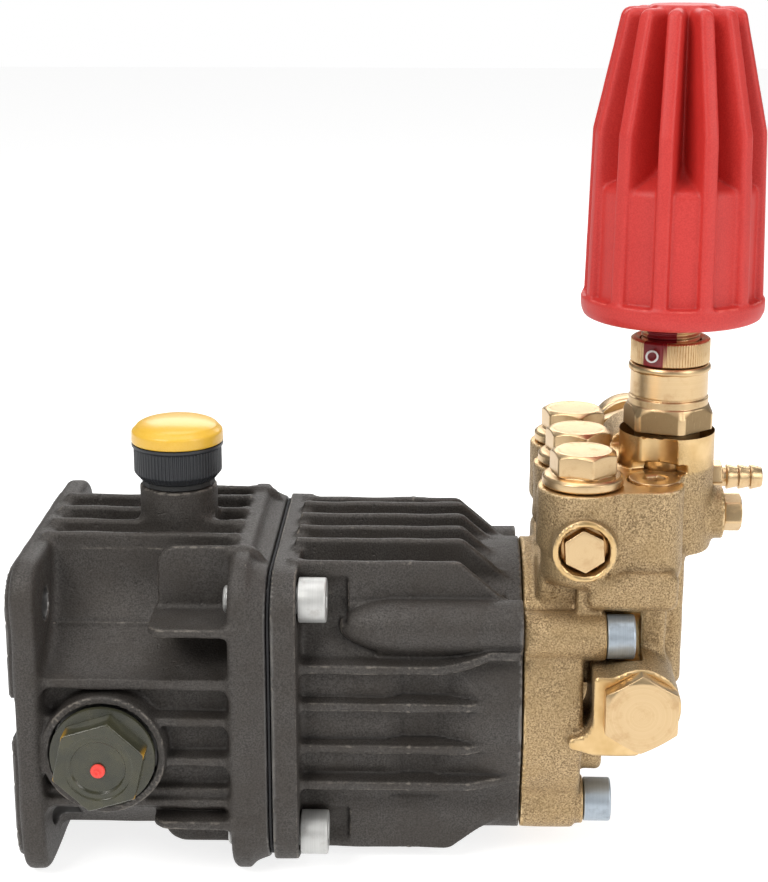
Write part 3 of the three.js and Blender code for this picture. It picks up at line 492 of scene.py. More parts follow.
# a and b are sockets or numbers.
def mathNode(tree, operation, a, b=None, clamp=False):
    node = addNode(tree, "ShaderNodeMath", operation=operation, use_clamp=clamp)
    for i, value in enumerate((a, b)):
        if value is None:
            continue
        if isinstance(value, (int, float)):
            node.inputs[i].default_value = value
        else:
            tree.links.new(value, node.inputs[i])
    return node.outputs[0]


# Linear blend of two colours, each a socket or a red, green, blue triple.
def mixColours(tree, share, a, b):
    node = addNode(tree, "ShaderNodeMix", data_type="RGBA", clamp_factor=True)
    for socket, value in ((node.inputs[0], share), (node.inputs[6], a), (node.inputs[7], b)):
        if isinstance(value, tuple):
            socket.default_value = (*value, 1)
        elif isinstance(value, (int, float)):
            socket.default_value = value
        else:
            tree.links.new(value, socket)
    return node.outputs[2]


# Linear blend of two numbers or sockets.
def mixNumbers(tree, share, a, b):
    node = addNode(tree, "ShaderNodeMix", data_type="FLOAT", clamp_factor=True)
    for socket, value in ((node.inputs[0], share), (node.inputs[2], a), (node.inputs[3], b)):
        if isinstance(value, (int, float)):
            socket.default_value = value
        else:
            tree.links.new(value, socket)
    return node.outputs[0]


# An empty node group; an input with no value is a vector, the others are numbers.
def newGroup(name, inputs, outputs):
    tree = bpy.data.node_groups.new(name, "ShaderNodeTree")
    for label, value in inputs.items():
        kind = "NodeSocketVector" if value is None else "NodeSocketFloat"
        socket = tree.interface.new_socket(label, in_out="INPUT", socket_type=kind)
        if value is not None:
            socket.default_value = value
    for label in outputs:
        tree.interface.new_socket(label, in_out="OUTPUT", socket_type="NodeSocketFloat")
    return tree, addNode(tree, "NodeGroupInput"), addNode(tree, "NodeGroupOutput")


# Noise whose features are about one size across: the place divided by the size, in metres.
def noiseOf(tree, vector, size, detail=2.0, roughness=0.55):
    scaled = addNode(tree, "ShaderNodeVectorMath", operation="SCALE")
    tree.links.new(vector, scaled.inputs[0])
    if isinstance(size, (int, float)):
        scaled.inputs["Scale"].default_value = 1 / (size * mm)
    else:
        tree.links.new(mathNode(tree, "DIVIDE", 1 / mm, size), scaled.inputs["Scale"])
    node = addNode(tree, "ShaderNodeTexNoise", {"Scale": 1.0, "Detail": detail,
                                                "Roughness": roughness})
    tree.links.new(scaled.outputs[0], node.inputs["Vector"])
    return node.outputs["Fac"]


# 0 below low, 1 above high, smooth between.
def rampOf(tree, value, low, high):
    node = addNode(tree, "ShaderNodeMapRange", {"From Min": low, "From Max": high},
                   interpolation_type="SMOOTHSTEP", clamp=True)
    tree.links.new(value, node.inputs["Value"])
    return node.outputs["Result"]


# Grain of a surface: fine specks, slow blotches and their height, all from noise.
def makeGrainGroup():
    tree, given, out = newGroup("surfaceGrain", {"Fine": 0.5, "Coarse": 9.0},
                                ["Specks", "Blotches", "Height", "Pits"])
    place = addNode(tree, "ShaderNodeTexCoord").outputs["Object"]
    fine = noiseOf(tree, place, given.outputs["Fine"], 2.0, 0.65)
    middle = noiseOf(tree, place, mathNode(tree, "MULTIPLY", given.outputs["Fine"], 3.1), 2.0)
    slow = noiseOf(tree, place, given.outputs["Coarse"], 3.0, 0.6)
    pits = noiseOf(tree, place, mathNode(tree, "MULTIPLY", given.outputs["Fine"], 4.7), 1.0)
    both = mixNumbers(tree, 0.35, fine, middle)
    tree.links.new(rampOf(tree, fine, 0.3, 0.7), out.inputs["Specks"])
    tree.links.new(rampOf(tree, slow, 0.3, 0.7), out.inputs["Blotches"])
    tree.links.new(both, out.inputs["Height"])
    tree.links.new(rampOf(tree, pits, 0.66, 0.74), out.inputs["Pits"])
    return tree


# Worn edges with painted highlight: the outward bend of the surface, broken up by noise.
def makeWearAndSheenGroup():
    tree, given, out = newGroup("edgeWearAndSheen", {"Bend": 0.0, "Size": 2.5, "Reach": 0.5}, ["Mask"])
    place = addNode(tree, "ShaderNodeTexCoord").outputs["Object"]
    ragged = noiseOf(tree, place, given.outputs["Size"], 3.0, 0.65)
    level = mathNode(tree, "ADD", given.outputs["Bend"],
                     mathNode(tree, "SUBTRACT", ragged, 0.5))
    edge = mathNode(tree, "SUBTRACT", 1.0, given.outputs["Reach"])
    over = mathNode(tree, "SUBTRACT", level, edge)
    tree.links.new(mathNode(tree, "MULTIPLY", over, 4.0, True), out.inputs["Mask"])
    return tree


# Tool marks: noise of radius and height round the axis, fine scratches and tarnish.
def makeMarksGroup():
    tree, given, out = newGroup("toolMarks", {"Marks": None, "Pitch": 0.12},
                                ["Lines", "Scratches", "Tarnish"])
    place = addNode(tree, "ShaderNodeTexCoord").outputs["Object"]
    lines = noiseOf(tree, given.outputs["Marks"], given.outputs["Pitch"], 2.0, 0.7)
    stretch = addNode(tree, "ShaderNodeMapping", {"Scale": (1.0, 1.0, 0.12),
                                                  "Rotation": (0.4, 0.7, 0.3)})
    tree.links.new(place, stretch.inputs["Vector"])
    scratch = noiseOf(tree, stretch.outputs[0], 0.35, 2.0, 0.7)
    tarnish = noiseOf(tree, place, 4.5, 4.0, 0.68)
    tree.links.new(lines, out.inputs["Lines"])
    tree.links.new(rampOf(tree, scratch, 0.62, 0.72), out.inputs["Scratches"])
    tree.links.new(rampOf(tree, tarnish, 0.5, 0.75), out.inputs["Tarnish"])
    return tree


grainGroup, wearAndSheenGroup, marksGroup = makeGrainGroup(), makeWearAndSheenGroup(), makeMarksGroup()


# A material with its node tree and its surface shader.
def startMaterial(name):
    made = bpy.data.materials.new(name)
    made.use_nodes = True
    return made, made.node_tree, made.node_tree.nodes["Principled BSDF"]


# Places a node group in a material, with a number or a link for each input.
def useGroup(tree, group, inputs=None):
    node = addNode(tree, "ShaderNodeGroup", node_tree=group)
    for key, value in (inputs or {}).items():
        if isinstance(value, (int, float)):
            node.inputs[key].default_value = value
        else:
            tree.links.new(value, node.inputs[key])
    return node.outputs


# A value that the piece carries on its vertices; it is 0 where there is none.
def attributeOf(tree, name, output="Fac"):
    return addNode(tree, "ShaderNodeAttribute", attribute_name=name).outputs[output]


# Raises the surface by a height, at most a distance in millimetres.
def bumpInto(tree, shader, height, strength, distance):
    node = addNode(tree, "ShaderNodeBump", {"Strength": strength, "Distance": distance * mm})
    tree.links.new(height, node.inputs["Height"])
    tree.links.new(node.outputs[0], shader.inputs["Normal"])


# Sand-cast metal: grainy, blotchy, lighter on its edges for wear and painted highlight, with
# painted shade in its corners, and bright and smooth where it was machined.
def castMaterial(name, look):
    made, tree, shader = startMaterial(name)
    grain = useGroup(tree, grainGroup, {"Fine": look["grain"], "Coarse": look["blotch"]})
    cut = attributeOf(tree, "machined")
    wornAndSheen = useGroup(tree, wearAndSheenGroup, {"Bend": attributeOf(tree, "wearAndSheen"),
                                      "Reach": look["wearAndSheenReach"]})
    tone = mixColours(tree, grain["Specks"], look["dark"], look["light"])
    tone = mixColours(tree, mathNode(tree, "MULTIPLY", grain["Blotches"], look["blotchShare"]),
                      tone, look["stain"])
    # Edges: wear and painted highlight, mixed towards the edge colour.
    tone = mixColours(tree, mathNode(tree, "MULTIPLY", wornAndSheen["Mask"], look["wearAndSheenShare"]),
                      tone, look["wornAndSheen"])
    # Painted shade: creases darker the more sharply the surface bends inward.
    creaseShade = mathNode(tree, "MULTIPLY", attributeOf(tree, "creaseShade"), look["creaseShadeShare"], True)
    tone = mixColours(tree, creaseShade, tone, look["creaseShade"])
    bright = mixColours(tree, grain["Blotches"], look["cut"], look["cutDark"])
    tree.links.new(mixColours(tree, cut, tone, bright), shader.inputs["Base Color"])
    rough = mixNumbers(tree, grain["Specks"], look["rough"] + 0.08, look["rough"] - 0.08)
    tree.links.new(mixNumbers(tree, cut, rough, look["cutRough"]), shader.inputs["Roughness"])
    tree.links.new(mixNumbers(tree, cut, look["metal"], 1.0), shader.inputs["Metallic"])
    depth = mixNumbers(tree, cut, 1.0, 0.06)
    height = mathNode(tree, "SUBTRACT", grain["Height"],
                      mathNode(tree, "MULTIPLY", grain["Pits"], look["pits"]))
    bumpInto(tree, shader, mathNode(tree, "MULTIPLY", height, depth), look["bump"], look["depth"])
    return made


paintColour = (0.20, 0.010, 0.014)      # of the dab on the stop nut


# Turned or milled metal: fine lines round its axis, a few scratches and patches of tarnish.
def machinedMaterial(name, look):
    made, tree, shader = startMaterial(name)
    marks = useGroup(tree, marksGroup, {"Marks": attributeOf(tree, "marks", "Vector"),
                                        "Pitch": look["pitch"]})
    tone = mixColours(tree, marks["Lines"], look["dark"], look["light"])
    tone = mixColours(tree, mathNode(tree, "MULTIPLY", marks["Tarnish"], look["tarnishShare"]),
                      tone, look["tarnish"])
    drawn = attributeOf(tree, "drawn")
    dull = mixColours(tree, marks["Scratches"], look["drawn"], look["drawnLight"])
    tone = mixColours(tree, drawn, tone, dull)
    paint = attributeOf(tree, "paint")
    tone = mixColours(tree, paint, tone, paintColour)
    tree.links.new(tone, shader.inputs["Base Color"])
    rough = mixNumbers(tree, marks["Lines"], look["rough"] - 0.05, look["rough"] + 0.05)
    rough = mathNode(tree, "ADD", rough, mathNode(tree, "MULTIPLY", marks["Scratches"], 0.12))
    rough = mathNode(tree, "ADD", rough, mathNode(tree, "MULTIPLY", marks["Tarnish"], 0.12))
    rough = mathNode(tree, "ADD", rough, mathNode(tree, "MULTIPLY", drawn, 0.22))
    tree.links.new(rough, shader.inputs["Roughness"])
    tree.links.new(mixNumbers(tree, paint, look["metal"], 0.0), shader.inputs["Metallic"])
    height = mathNode(tree, "SUBTRACT", marks["Lines"],
                      mathNode(tree, "MULTIPLY", marks["Scratches"], 0.5))
    bumpInto(tree, shader, height, look["bump"], look["depth"])
    return made


# Moulded plastic or rubber: spark-eroded grain, faint blotches and edges made paler for rubbing and
# painted highlight.
def plasticMaterial(name, look):
    made, tree, shader = startMaterial(name)
    grain = useGroup(tree, grainGroup, {"Fine": look["grain"], "Coarse": look["blotch"]})
    tone = mixColours(tree, mathNode(tree, "MULTIPLY", grain["Blotches"], look["blotchShare"]),
                      look["colour"], look["stain"])
    tone = mixColours(tree, mathNode(tree, "MULTIPLY", grain["Specks"], look["speckShare"]),
                      tone, look["speck"])
    # Edges paler for wear and painted highlight.
    if look.get("edges"):
        wornAndSheen = useGroup(tree, wearAndSheenGroup, {"Bend": attributeOf(tree, "wearAndSheen"),
                                          "Reach": look["wearAndSheenReach"]})
        tone = mixColours(tree, mathNode(tree, "MULTIPLY", wornAndSheen["Mask"], look["wearAndSheenShare"]),
                          tone, look["wornAndSheen"])
    tree.links.new(tone, shader.inputs["Base Color"])
    rough = mixNumbers(tree, grain["Specks"], look["rough"] - 0.05, look["rough"] + 0.05)
    tree.links.new(rough, shader.inputs["Roughness"])
    shader.inputs["Coat Weight"].default_value = look.get("coat", 0.0)
    shader.inputs["Coat Roughness"].default_value = look.get("coatRough", 0.1)
    bumpInto(tree, shader, grain["Height"], look["bump"], look["depth"])
    return made


# Amber window plastic: see-through, with a little grain inside and painted amber light on its
# corners.
def glassMaterial(name, look):
    made, tree, shader = startMaterial(name)
    grain = useGroup(tree, grainGroup, {"Fine": look["grain"], "Coarse": look["blotch"]})
    tone = mixColours(tree, grain["Blotches"], look["dark"], look["light"])
    # Painted light: amber where the glow values are high.
    tone = mixColours(tree, attributeOf(tree, "paintedGlow"), tone, look["amber"])
    tree.links.new(tone, shader.inputs["Base Color"])
    rough = mixNumbers(tree, grain["Specks"], look["rough"] - 0.03, look["rough"] + 0.03)
    tree.links.new(rough, shader.inputs["Roughness"])
    shader.inputs["Transmission Weight"].default_value = look["clear"]
    shader.inputs["IOR"].default_value = 1.5
    bumpInto(tree, shader, grain["Height"], look["bump"], look["depth"])
    return made


# Each finish by its own name. Colours are linear red, green and blue; sizes are millimetres.
# In the cast finishes the edge colour is wear and painted highlight and the crease colour is
# painted shade; the red plastic's edge colour is wear and painted highlight.
finishes = {
    "castAluminium": castMaterial("castAluminium", {
        "dark": (0.036, 0.032, 0.029), "light": (0.084, 0.076, 0.069), "grain": 0.5,
        "blotch": 14.0, "stain": (0.045, 0.037, 0.030), "blotchShare": 0.6,
        "wornAndSheen": (0.22, 0.195, 0.165), "wearAndSheenReach": 0.62, "wearAndSheenShare": 0.6,
        "creaseShade": (0.014, 0.012, 0.011), "creaseShadeShare": 0.9,
        "cut": (0.26, 0.255, 0.25), "cutDark": (0.16, 0.155, 0.15), "cutRough": 0.4,
        "rough": 0.58, "metal": 0.3, "bump": 0.6, "depth": 0.35, "pits": 0.6,
    }),
    "castBrass": castMaterial("castBrass", {
        "dark": (0.19, 0.125, 0.062), "light": (0.62, 0.45, 0.25), "grain": 0.5,
        "blotch": 10.0, "stain": (0.40, 0.275, 0.13), "blotchShare": 0.5,
        "wornAndSheen": (0.88, 0.67, 0.40), "wearAndSheenReach": 0.55, "wearAndSheenShare": 0.75,
        "creaseShade": (0.12, 0.072, 0.035), "creaseShadeShare": 0.8,
        "cut": (0.78, 0.56, 0.29), "cutDark": (0.62, 0.41, 0.18), "cutRough": 0.36,
        "rough": 0.5, "metal": 0.7, "bump": 0.75, "depth": 0.4, "pits": 0.7,
    }),
    "machinedBrass": machinedMaterial("machinedBrass", {
        "drawn": (0.33, 0.23, 0.12), "drawnLight": (0.46, 0.34, 0.19),
        "dark": (0.58, 0.40, 0.20), "light": (0.74, 0.55, 0.33), "pitch": 0.16,
        "tarnish": (0.52, 0.31, 0.15), "tarnishShare": 0.5, "rough": 0.32, "metal": 1.0,
        "bump": 0.4, "depth": 0.06,
    }),
    "zincBright": machinedMaterial("zincBright", {
        "drawn": (0.4, 0.4, 0.39), "drawnLight": (0.5, 0.5, 0.49),
        "dark": (0.46, 0.46, 0.45), "light": (0.68, 0.68, 0.66), "pitch": 0.3,
        "tarnish": (0.34, 0.32, 0.29), "tarnishShare": 0.5, "rough": 0.45, "metal": 0.55,
        "bump": 0.4, "depth": 0.08,
    }),
    "zincBlue": machinedMaterial("zincBlue", {
        "drawn": (0.3, 0.33, 0.38), "drawnLight": (0.4, 0.43, 0.48),
        "dark": (0.34, 0.40, 0.46), "light": (0.50, 0.56, 0.62), "pitch": 0.3,
        "tarnish": (0.22, 0.24, 0.27), "tarnishShare": 0.5, "rough": 0.42, "metal": 0.7,
        "bump": 0.4, "depth": 0.08,
    }),
    "steel": machinedMaterial("steel", {
        "drawn": (0.3, 0.3, 0.3), "drawnLight": (0.4, 0.4, 0.4),
        "dark": (0.42, 0.42, 0.43), "light": (0.62, 0.62, 0.63), "pitch": 0.2,
        "tarnish": (0.28, 0.26, 0.24), "tarnishShare": 0.35, "rough": 0.3, "metal": 1.0,
        "bump": 0.25, "depth": 0.05,
    }),
    "redPlastic": plasticMaterial("redPlastic", {
        "colour": (0.50, 0.020, 0.017), "stain": (0.58, 0.032, 0.026), "blotchShare": 0.5,
        "speck": (0.74, 0.07, 0.055), "speckShare": 0.4, "grain": 0.45, "blotch": 16.0,
        "edges": True, "wornAndSheen": (0.82, 0.15, 0.12), "wearAndSheenReach": 0.62, "wearAndSheenShare": 0.55,
        "rough": 0.5, "bump": 0.25, "depth": 0.2,
    }),
    "yellowPlastic": plasticMaterial("yellowPlastic", {
        "colour": (0.80, 0.46, 0.035), "stain": (0.84, 0.52, 0.06), "blotchShare": 0.5,
        "speck": (0.88, 0.58, 0.12), "speckShare": 0.25, "grain": 0.5, "blotch": 10.0,
        "rough": 0.36, "bump": 0.08, "depth": 0.1, "coat": 0.2, "coatRough": 0.1,
    }),
    "blackPlastic": plasticMaterial("blackPlastic", {
        "colour": (0.017, 0.019, 0.023), "stain": (0.024, 0.026, 0.030), "blotchShare": 0.5,
        "speck": (0.05, 0.052, 0.056), "speckShare": 0.35, "grain": 0.4, "blotch": 8.0,
        "rough": 0.4, "bump": 0.15, "depth": 0.12,
    }),
    "rubber": plasticMaterial("rubber", {
        "colour": (0.012, 0.012, 0.012), "stain": (0.02, 0.02, 0.019), "blotchShare": 0.5,
        "speck": (0.03, 0.03, 0.03), "speckShare": 0.3, "grain": 0.4, "blotch": 6.0,
        "rough": 0.62, "bump": 0.2, "depth": 0.12,
    }),
    "gasket": plasticMaterial("gasket", {
        "colour": (0.008, 0.008, 0.009), "stain": (0.014, 0.014, 0.015), "blotchShare": 0.5,
        "speck": (0.02, 0.02, 0.02), "speckShare": 0.3, "grain": 0.4, "blotch": 6.0,
        "rough": 0.8, "bump": 0.2, "depth": 0.12,
    }),
    "redDot": plasticMaterial("redDot", {
        "colour": (0.80, 0.03, 0.02), "stain": (0.88, 0.06, 0.04), "blotchShare": 0.5,
        "speck": (0.9, 0.2, 0.15), "speckShare": 0.25, "grain": 0.35, "blotch": 2.0,
        "rough": 0.4, "bump": 0.2, "depth": 0.1,
    }),
    "oilGlass": glassMaterial("oilGlass", {
        "dark": (0.050, 0.052, 0.034), "light": (0.085, 0.082, 0.046), "grain": 0.5, "blotch": 7.0,
        "rough": 0.2, "clear": 0.35, "bump": 0.06, "depth": 0.1, "amber": (0.85, 0.45, 0.03),
    }),
}
print("finishes made:", len(finishes))


# Gives a new piece its finish and body, and hides the CAD nodes it stands in for; its slot is not
# used.
def place(piece, body, slot, finish, *nodes):
    piece.data.materials.clear()
    piece.data.materials.append(finishes[finish])
    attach(piece, body)
    if nodes:
        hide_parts(*nodes)
    return piece


# Joins the milled blocks of a casting: each is its two corners and the rounding of its edges.
def mill(p, *blocks):
    cut = brick(p, *blocks[0])
    for block in blocks[1:]:
        cut = np.minimum(cut, brick(p, *block))
    return cut


# Joins the round bores of a casting: each is its axis, its place across that axis, its radius,
# its two ends and the rounding of its rims.
def drill(p, *bores):
    cut = bar(p, *bores[0])
    for bore in bores[1:]:
        cut = np.minimum(cut, bar(p, *bore))
    return cut


# Three plungers round the shaft: y and z are the pitch times the cosine and sine of the angle.
plungers = {"pitch": 27.8, "angles": (90, 210, 330)}
plungerPlaces = [(plungers["pitch"] * math.cos(math.radians(angle)),
                  plungers["pitch"] * math.sin(math.radians(angle)))
                 for angle in plungers["angles"]]

# Gearcase. A flange is its width, height, corner and thickness. A boss is its place and radius.
gearcase = {
    "step": 1.0, "flange": (99.0, 96.5, 12.0, 7.2), "land": (92.0, 89.5, 10.0, 1.9),
    "bodyEnd": 62.5, "topHalf": 20.2, "coreTop": 39.6, "coreLow": -39.6, "sideReach": 40.0,
    "finY": (6.3, 18.9), "finTop": 50.0, "fin": 2.6, "ribZ": (12.6, 1.3, -11.0, -24.1),
    "ribReach": 46.0, "scoop": (52.2, 45.9, 32.0), "lowScoop": (52.0, -55.4, 30.0),
    "neck": (42.3, 11.5, 59.8), "sight": (25.0, -8.0, 18.0), "drain": (44.0, 9.0),
    "lug": (38.5, 49.0, 31.0), "boltHole": (32.55, 4.7), "caseBolt": (37.8, 36.4, 4.3),
}


# Two flanges, a finned body with scooped corners between them, the filler neck, the window boss
# and four bent lugs, joined with casting fillets.
def gearcaseCast(p):
    g = gearcase
    x, y, z = p
    ay = np.abs(y)
    start, end = 5.0, g["bodyEnd"]
    width, height, corner, thick = g["flange"]
    body = pressed(roundBox2(y, z, width / 2, height / 2, corner), x, 0, thick, 2.3)
    width, height, corner, proud = g["land"]
    body = softMin(body, pressed(roundBox2(y, z, width / 2, height / 2, corner), x,
                                 -proud - 0.5, 2, 0.9), 1.2)
    column = brick((x, ay, z), (start, -g["topHalf"], g["coreLow"]),
                   (end, g["topHalf"], g["coreTop"]), 0.6)
    top = g["ribZ"][0] + g["fin"] / 2
    side = brick((x, ay, z), (start, -5, -25.4), (end, g["sideReach"], top), 0.6)
    u, v, r = g["scoop"]
    web = np.maximum(brick((x, ay, z), (start, 8, 12.2), (end, 46.0, 45.0), 0.5),
                     r - np.hypot(ay - u, z - v))
    u, v, r = g["lowScoop"]
    low = np.maximum(brick((x, ay, z), (start, 8, g["coreLow"]), (end, 44.0, -20), 1.0),
                     r - np.hypot(ay - u, z - v))
    core = softMin(softMin(softMin(column, side, 1.5), web, 1.0), low, 1.5)
    for spot in g["finY"]:
        half = g["fin"] / 2 + np.clip(g["finTop"] - z, 0, 14) * 0.025
        fin = np.abs(ay - spot) - half
        fin = softMax(np.maximum(fin, np.maximum(start - x, x - end)), z - g["finTop"], 1.2)
        core = softMin(core, np.maximum(fin, 30 - z), 2.0)
    for level in g["ribZ"]:
        half = g["fin"] / 2 + np.clip(g["ribReach"] - ay, 0, 8) * 0.03
        rib = np.maximum(np.abs(z - level) - half, np.maximum(start - x, x - end))
        core = softMin(core, np.maximum(softMax(rib, ay - g["ribReach"], 1.0), 30 - ay), 1.1)
    body = softMin(body, core, 3.4)
    u, radius, top = g["neck"]
    body = softMin(body, bar(p, "z", u, 0, radius + (top - z) * 0.012, 25, top, 0.7), 3.0)
    u, v, radius = g["sight"]
    body = softMin(body, bar(p, "y", u, v, radius, -48.2, -34, 0.7), 1.2)
    u, radius = g["drain"]
    body = softMin(body, bar(p, "z", u, 0, radius, -41.1, -34, 0.8), 1.6)
    u, reach, inset = g["lug"]
    az = np.abs(z)
    shelf = pressed(roundBox2(x - (u + 16), ay - (reach + 25) / 2, 16, (reach - 25) / 2, 5.5),
                    az, inset - g["fin"], inset, 0.9)
    finTop = np.where(z > 0, g["finTop"] - 0.3, 43.6)
    upright = roundBox2(x - (u + 17), az - (finTop + 24.2) / 2, 16, (finTop - 24.2) / 2, 6.5)
    upright = pressed(upright, ay, inset - g["fin"], inset, 0.9)
    body = softMin(body, softMin(shelf, upright, 2.2), 2.4)
    body = softMin(body, pressed(roundBox2(y, z, 48.2, 48.5, 15), x, 61.3, 67.2, 1.9), 3.0)
    rim = np.clip((x - 66.5) / 5.8, 0, 1)
    taper = 48.3 - 3.6 * rim ** 0.6
    body = softMin(body, pressed(roundBox2(y, z, 47.8, taper, 14), x, 63, 72.8, 0.4), 1.4)
    seam = 0.35 * np.exp(-((z - 25) / 0.45) ** 2) * (ay > 26) * (x < 61) * (x > 8)
    return body - seam + waviness(p, 0.09, 26.0)


# Everything that is bored, faced or drilled in the gearcase, as one shape to take away.
def gearcaseTool(p):
    g = gearcase
    x, y, z = p
    hole, holeRadius = g["boltHole"]
    boltY, boltZ, boltRadius = g["caseBolt"]
    windowX, windowZ, _ = g["sight"]
    cut = mill(p, ((-12, -60, -60), (-g["land"][3], 60, 60), 0),         # engine face
               ((72.3, -60, -60), (90, 60, 60), 0),                      # gasket face
               ((-12, -60, -4.3), (0, -10, 8.4), 0.6))                   # slot in the flange
    bores = drill(p, ("x", 0, 0, 30.0, -9, 0.0, 0),                      # engine's pilot
                  ("x", 0, 0, 23.3, -9, 12, 0),                          # oil seal
                  ("x", 0, 0, 27.8, 8.7, 24, 0),                         # front bearing
                  ("x", 0, 0, 36.0, 22.3, 90, 0),                        # swash plate
                  *[("x", u, v, 13.4, 57.2, 90, 0) for u, v in plungerPlaces],
                  ("z", g["neck"][0], 0, 8.6, 20, 70, 0),
                  ("y", windowX, windowZ, 10.2, -60, -20, 0),
                  ("y", windowX, windowZ, 15.8, -60, -45.0, 0),          # window's seal
                  ("z", g["drain"][0], 0, 5.3, -60, -30, 0))
    holes = drill((x, np.abs(y), np.abs(z)), ("x", hole, hole, holeRadius, -9, 14, 0),
                  ("x", boltY, boltZ, boltRadius, 56, 90, 0))
    return np.minimum(np.minimum(cut, bores), holes)


place(castPiece("gearcaseCasting", gearcaseCast, gearcaseTool, (-4, -52, -51), (74.5, 52, 62),
                gearcase["step"]),
      "casing", "cast_aluminium", "castAluminium", "gearcase")

# Plunger housing. Pockets are two heights and a reach; fins are a place, two heights and an end.
housing = {
    "step": 0.95, "start": 73.5, "flangeEnd": 80.9, "end": 145.5, "round": 41.5,
    "flange": (96.0, 91.0, 14.0), "upper": (31.7, 24.0, 7.4), "lower": (24.7, -30.9, 8.4),
    "fin": 2.6, "ribReach": 43.2, "ribZ": (17.0, 5.5, -7.5, -19.0),
    "nose": (34.6, 27.5, 7.8), "pocketFloor": 39.2,
    "pockets": ((7.0, 15.6, 124), (-6.0, 4.0, 121), (-17.6, -9.0, 120), (-27.5, -20.6, 118)),
    "topFins": ((6.0, 30, 48.5, 128.0), (18.0, 30, 48.5, 128.0), (31.0, 18, 46.0, 127.0)),
    "plungerBores": ((13.4, 60, 105.5), (7.8, 104, 160), (11.6, 127.5, 160)),
}


# An upright fin whose far end slopes down: the lower of its top and a sloping plane.
def taperedFin(p, spot, low, high, end, slope):
    x, ay, z = p
    half = housing["fin"] / 2 + np.clip(high - np.abs(z), 0, 12) * 0.03
    top = softMax(np.abs(z) - high, (np.abs(z) - high + (x - end) * slope) / math.hypot(1, slope),
                  1.0)
    fin = softMax(np.maximum(np.abs(ay - spot) - half, housing["flangeEnd"] - 2 - x), top, 1.1)
    return np.maximum(fin, low - np.abs(z))


# A square flange and a round body with pockets between near ribs, five pairs of fins, bolt
# bosses and two bullet-nosed bosses.
def housingCast(p):
    h = housing
    x, y, z = p
    ay = np.abs(y)
    flat = (x, ay, z)
    start, end = h["flangeEnd"] - 3, h["end"] + 1
    body = bar(p, "x", 0, 0, h["round"], start, end, 0.8)
    u, v, r = h["lower"]
    body = softMin(body, bar(flat, "x", u, v, r, start, end, 0.8), 2.5)
    u, v, r = h["upper"]
    body = softMin(body, bar(flat, "x", u, v, r, 104, end, 0.8), 2.0)
    wall = h["pocketFloor"]
    for low, high, reach in h["pockets"]:
        depth = wall - 2.2 * np.clip((x - 106) / 5, 0, 1) + np.maximum(x - reach, 0) * 0.42
        depth = depth - np.maximum(-20 - z, 0) * 0.9
        pocket = np.maximum(np.abs(z - (low + high) / 2) - (high - low) / 2, depth - ay)
        body = softMax(body, -np.maximum(pocket, h["flangeEnd"] - 1 - x), 0.9)
    for i, level in enumerate(h["ribZ"]):
        centre = level + (4.5 * np.clip((x - 118) / 18, 0, 1) ** 2 if i == 0 else 0)
        reach = h["ribReach"] - np.maximum(x - (146 if i == 0 else 130), 0) * 0.45
        rib = softMax(np.abs(z - centre) - h["fin"] / 2 - np.clip(reach - ay, 0, 6) * 0.06,
                      ay - reach, 0.8)
        rib = np.maximum(rib, np.maximum(30 - ay, np.maximum(start - x, x - 145)))
        body = softMin(body, rib, 0.9)
    for spot, low, high, stop in h["topFins"]:
        fin = taperedFin(flat, spot, low, high, stop, 0.85)
        body = softMin(body, np.maximum(fin, -z), 2.0)
    fin = taperedFin(flat, 31.0, 18, 44.3, 125.0, 0.8)
    body = softMin(body, np.maximum(fin, z), 2.0)
    web = brick(flat, (start, 8, 18), (140, 33.6, 34), 0.8)
    body = softMin(body, web, 1.0)
    u, v, r = h["nose"]
    back = np.clip((x - 92.5) / 18.0, 0, 1)
    radius = r * np.sqrt(np.maximum(1 - (1 - back) ** 1.8, 0)) - 3 * np.clip((93 - x) / 2, 0, 1)
    nose = np.maximum(np.hypot(ay - u, z - v) - radius, np.maximum(90 - x, x - end))
    body = softMin(body, nose * 0.8, 1.0)
    body = body - 0.14 * np.exp(-((x - 113) / 0.5) ** 2) * (ay > 28)
    width, height, corner = h["flange"]
    flange = pressed(roundBox2(y, z, width / 2, height / 2, corner), x, h["start"] - 0.5,
                     h["flangeEnd"], 1.0)
    body = softMin(body, flange, 2.6)
    seat = bar((x, ay, np.abs(z)), "x", 37.8, 36.4, 7.6, h["flangeEnd"], 95, 0.5)
    return softMax(body, -seat, 0.8) + waviness(p, 0.09, 23.0)


# Gasket and head faces, plunger bores, seal pockets, screw holes and their spot faces.
def housingTool(p):
    h = housing
    x, y, z = p
    cut = mill(p, ((60, -60, -60), (h["start"], 60, 60), 0),
               ((h["end"], -60, -60), (160, 60, 60), 0))
    bores = drill(p, ("x", 0, 0, 12.5, 60, 88.5, 0),                     # tail bearing
                  *[("x", u, v, radius, low, high, 0) for u, v in plungerPlaces
                    for radius, low, high in h["plungerBores"]])
    corners = drill((x, np.abs(y), np.abs(z)), ("x", 37.8, 36.4, 4.3, 60, 82, 0))
    holes = drill((x, np.abs(y), z), *[("x", u, v, 4.3, 121.5, 160, 0)
                                       for u, v, _ in (h["upper"], h["lower"])])
    return np.minimum(np.minimum(cut, bores), np.minimum(corners, holes))


place(castPiece("plungerHousingCasting", housingCast, housingTool, (71.5, -51, -49),
                (147.5, 51, 51), housing["step"]),
      "casing", "cast_aluminium", "castAluminium", "plunger_housing")

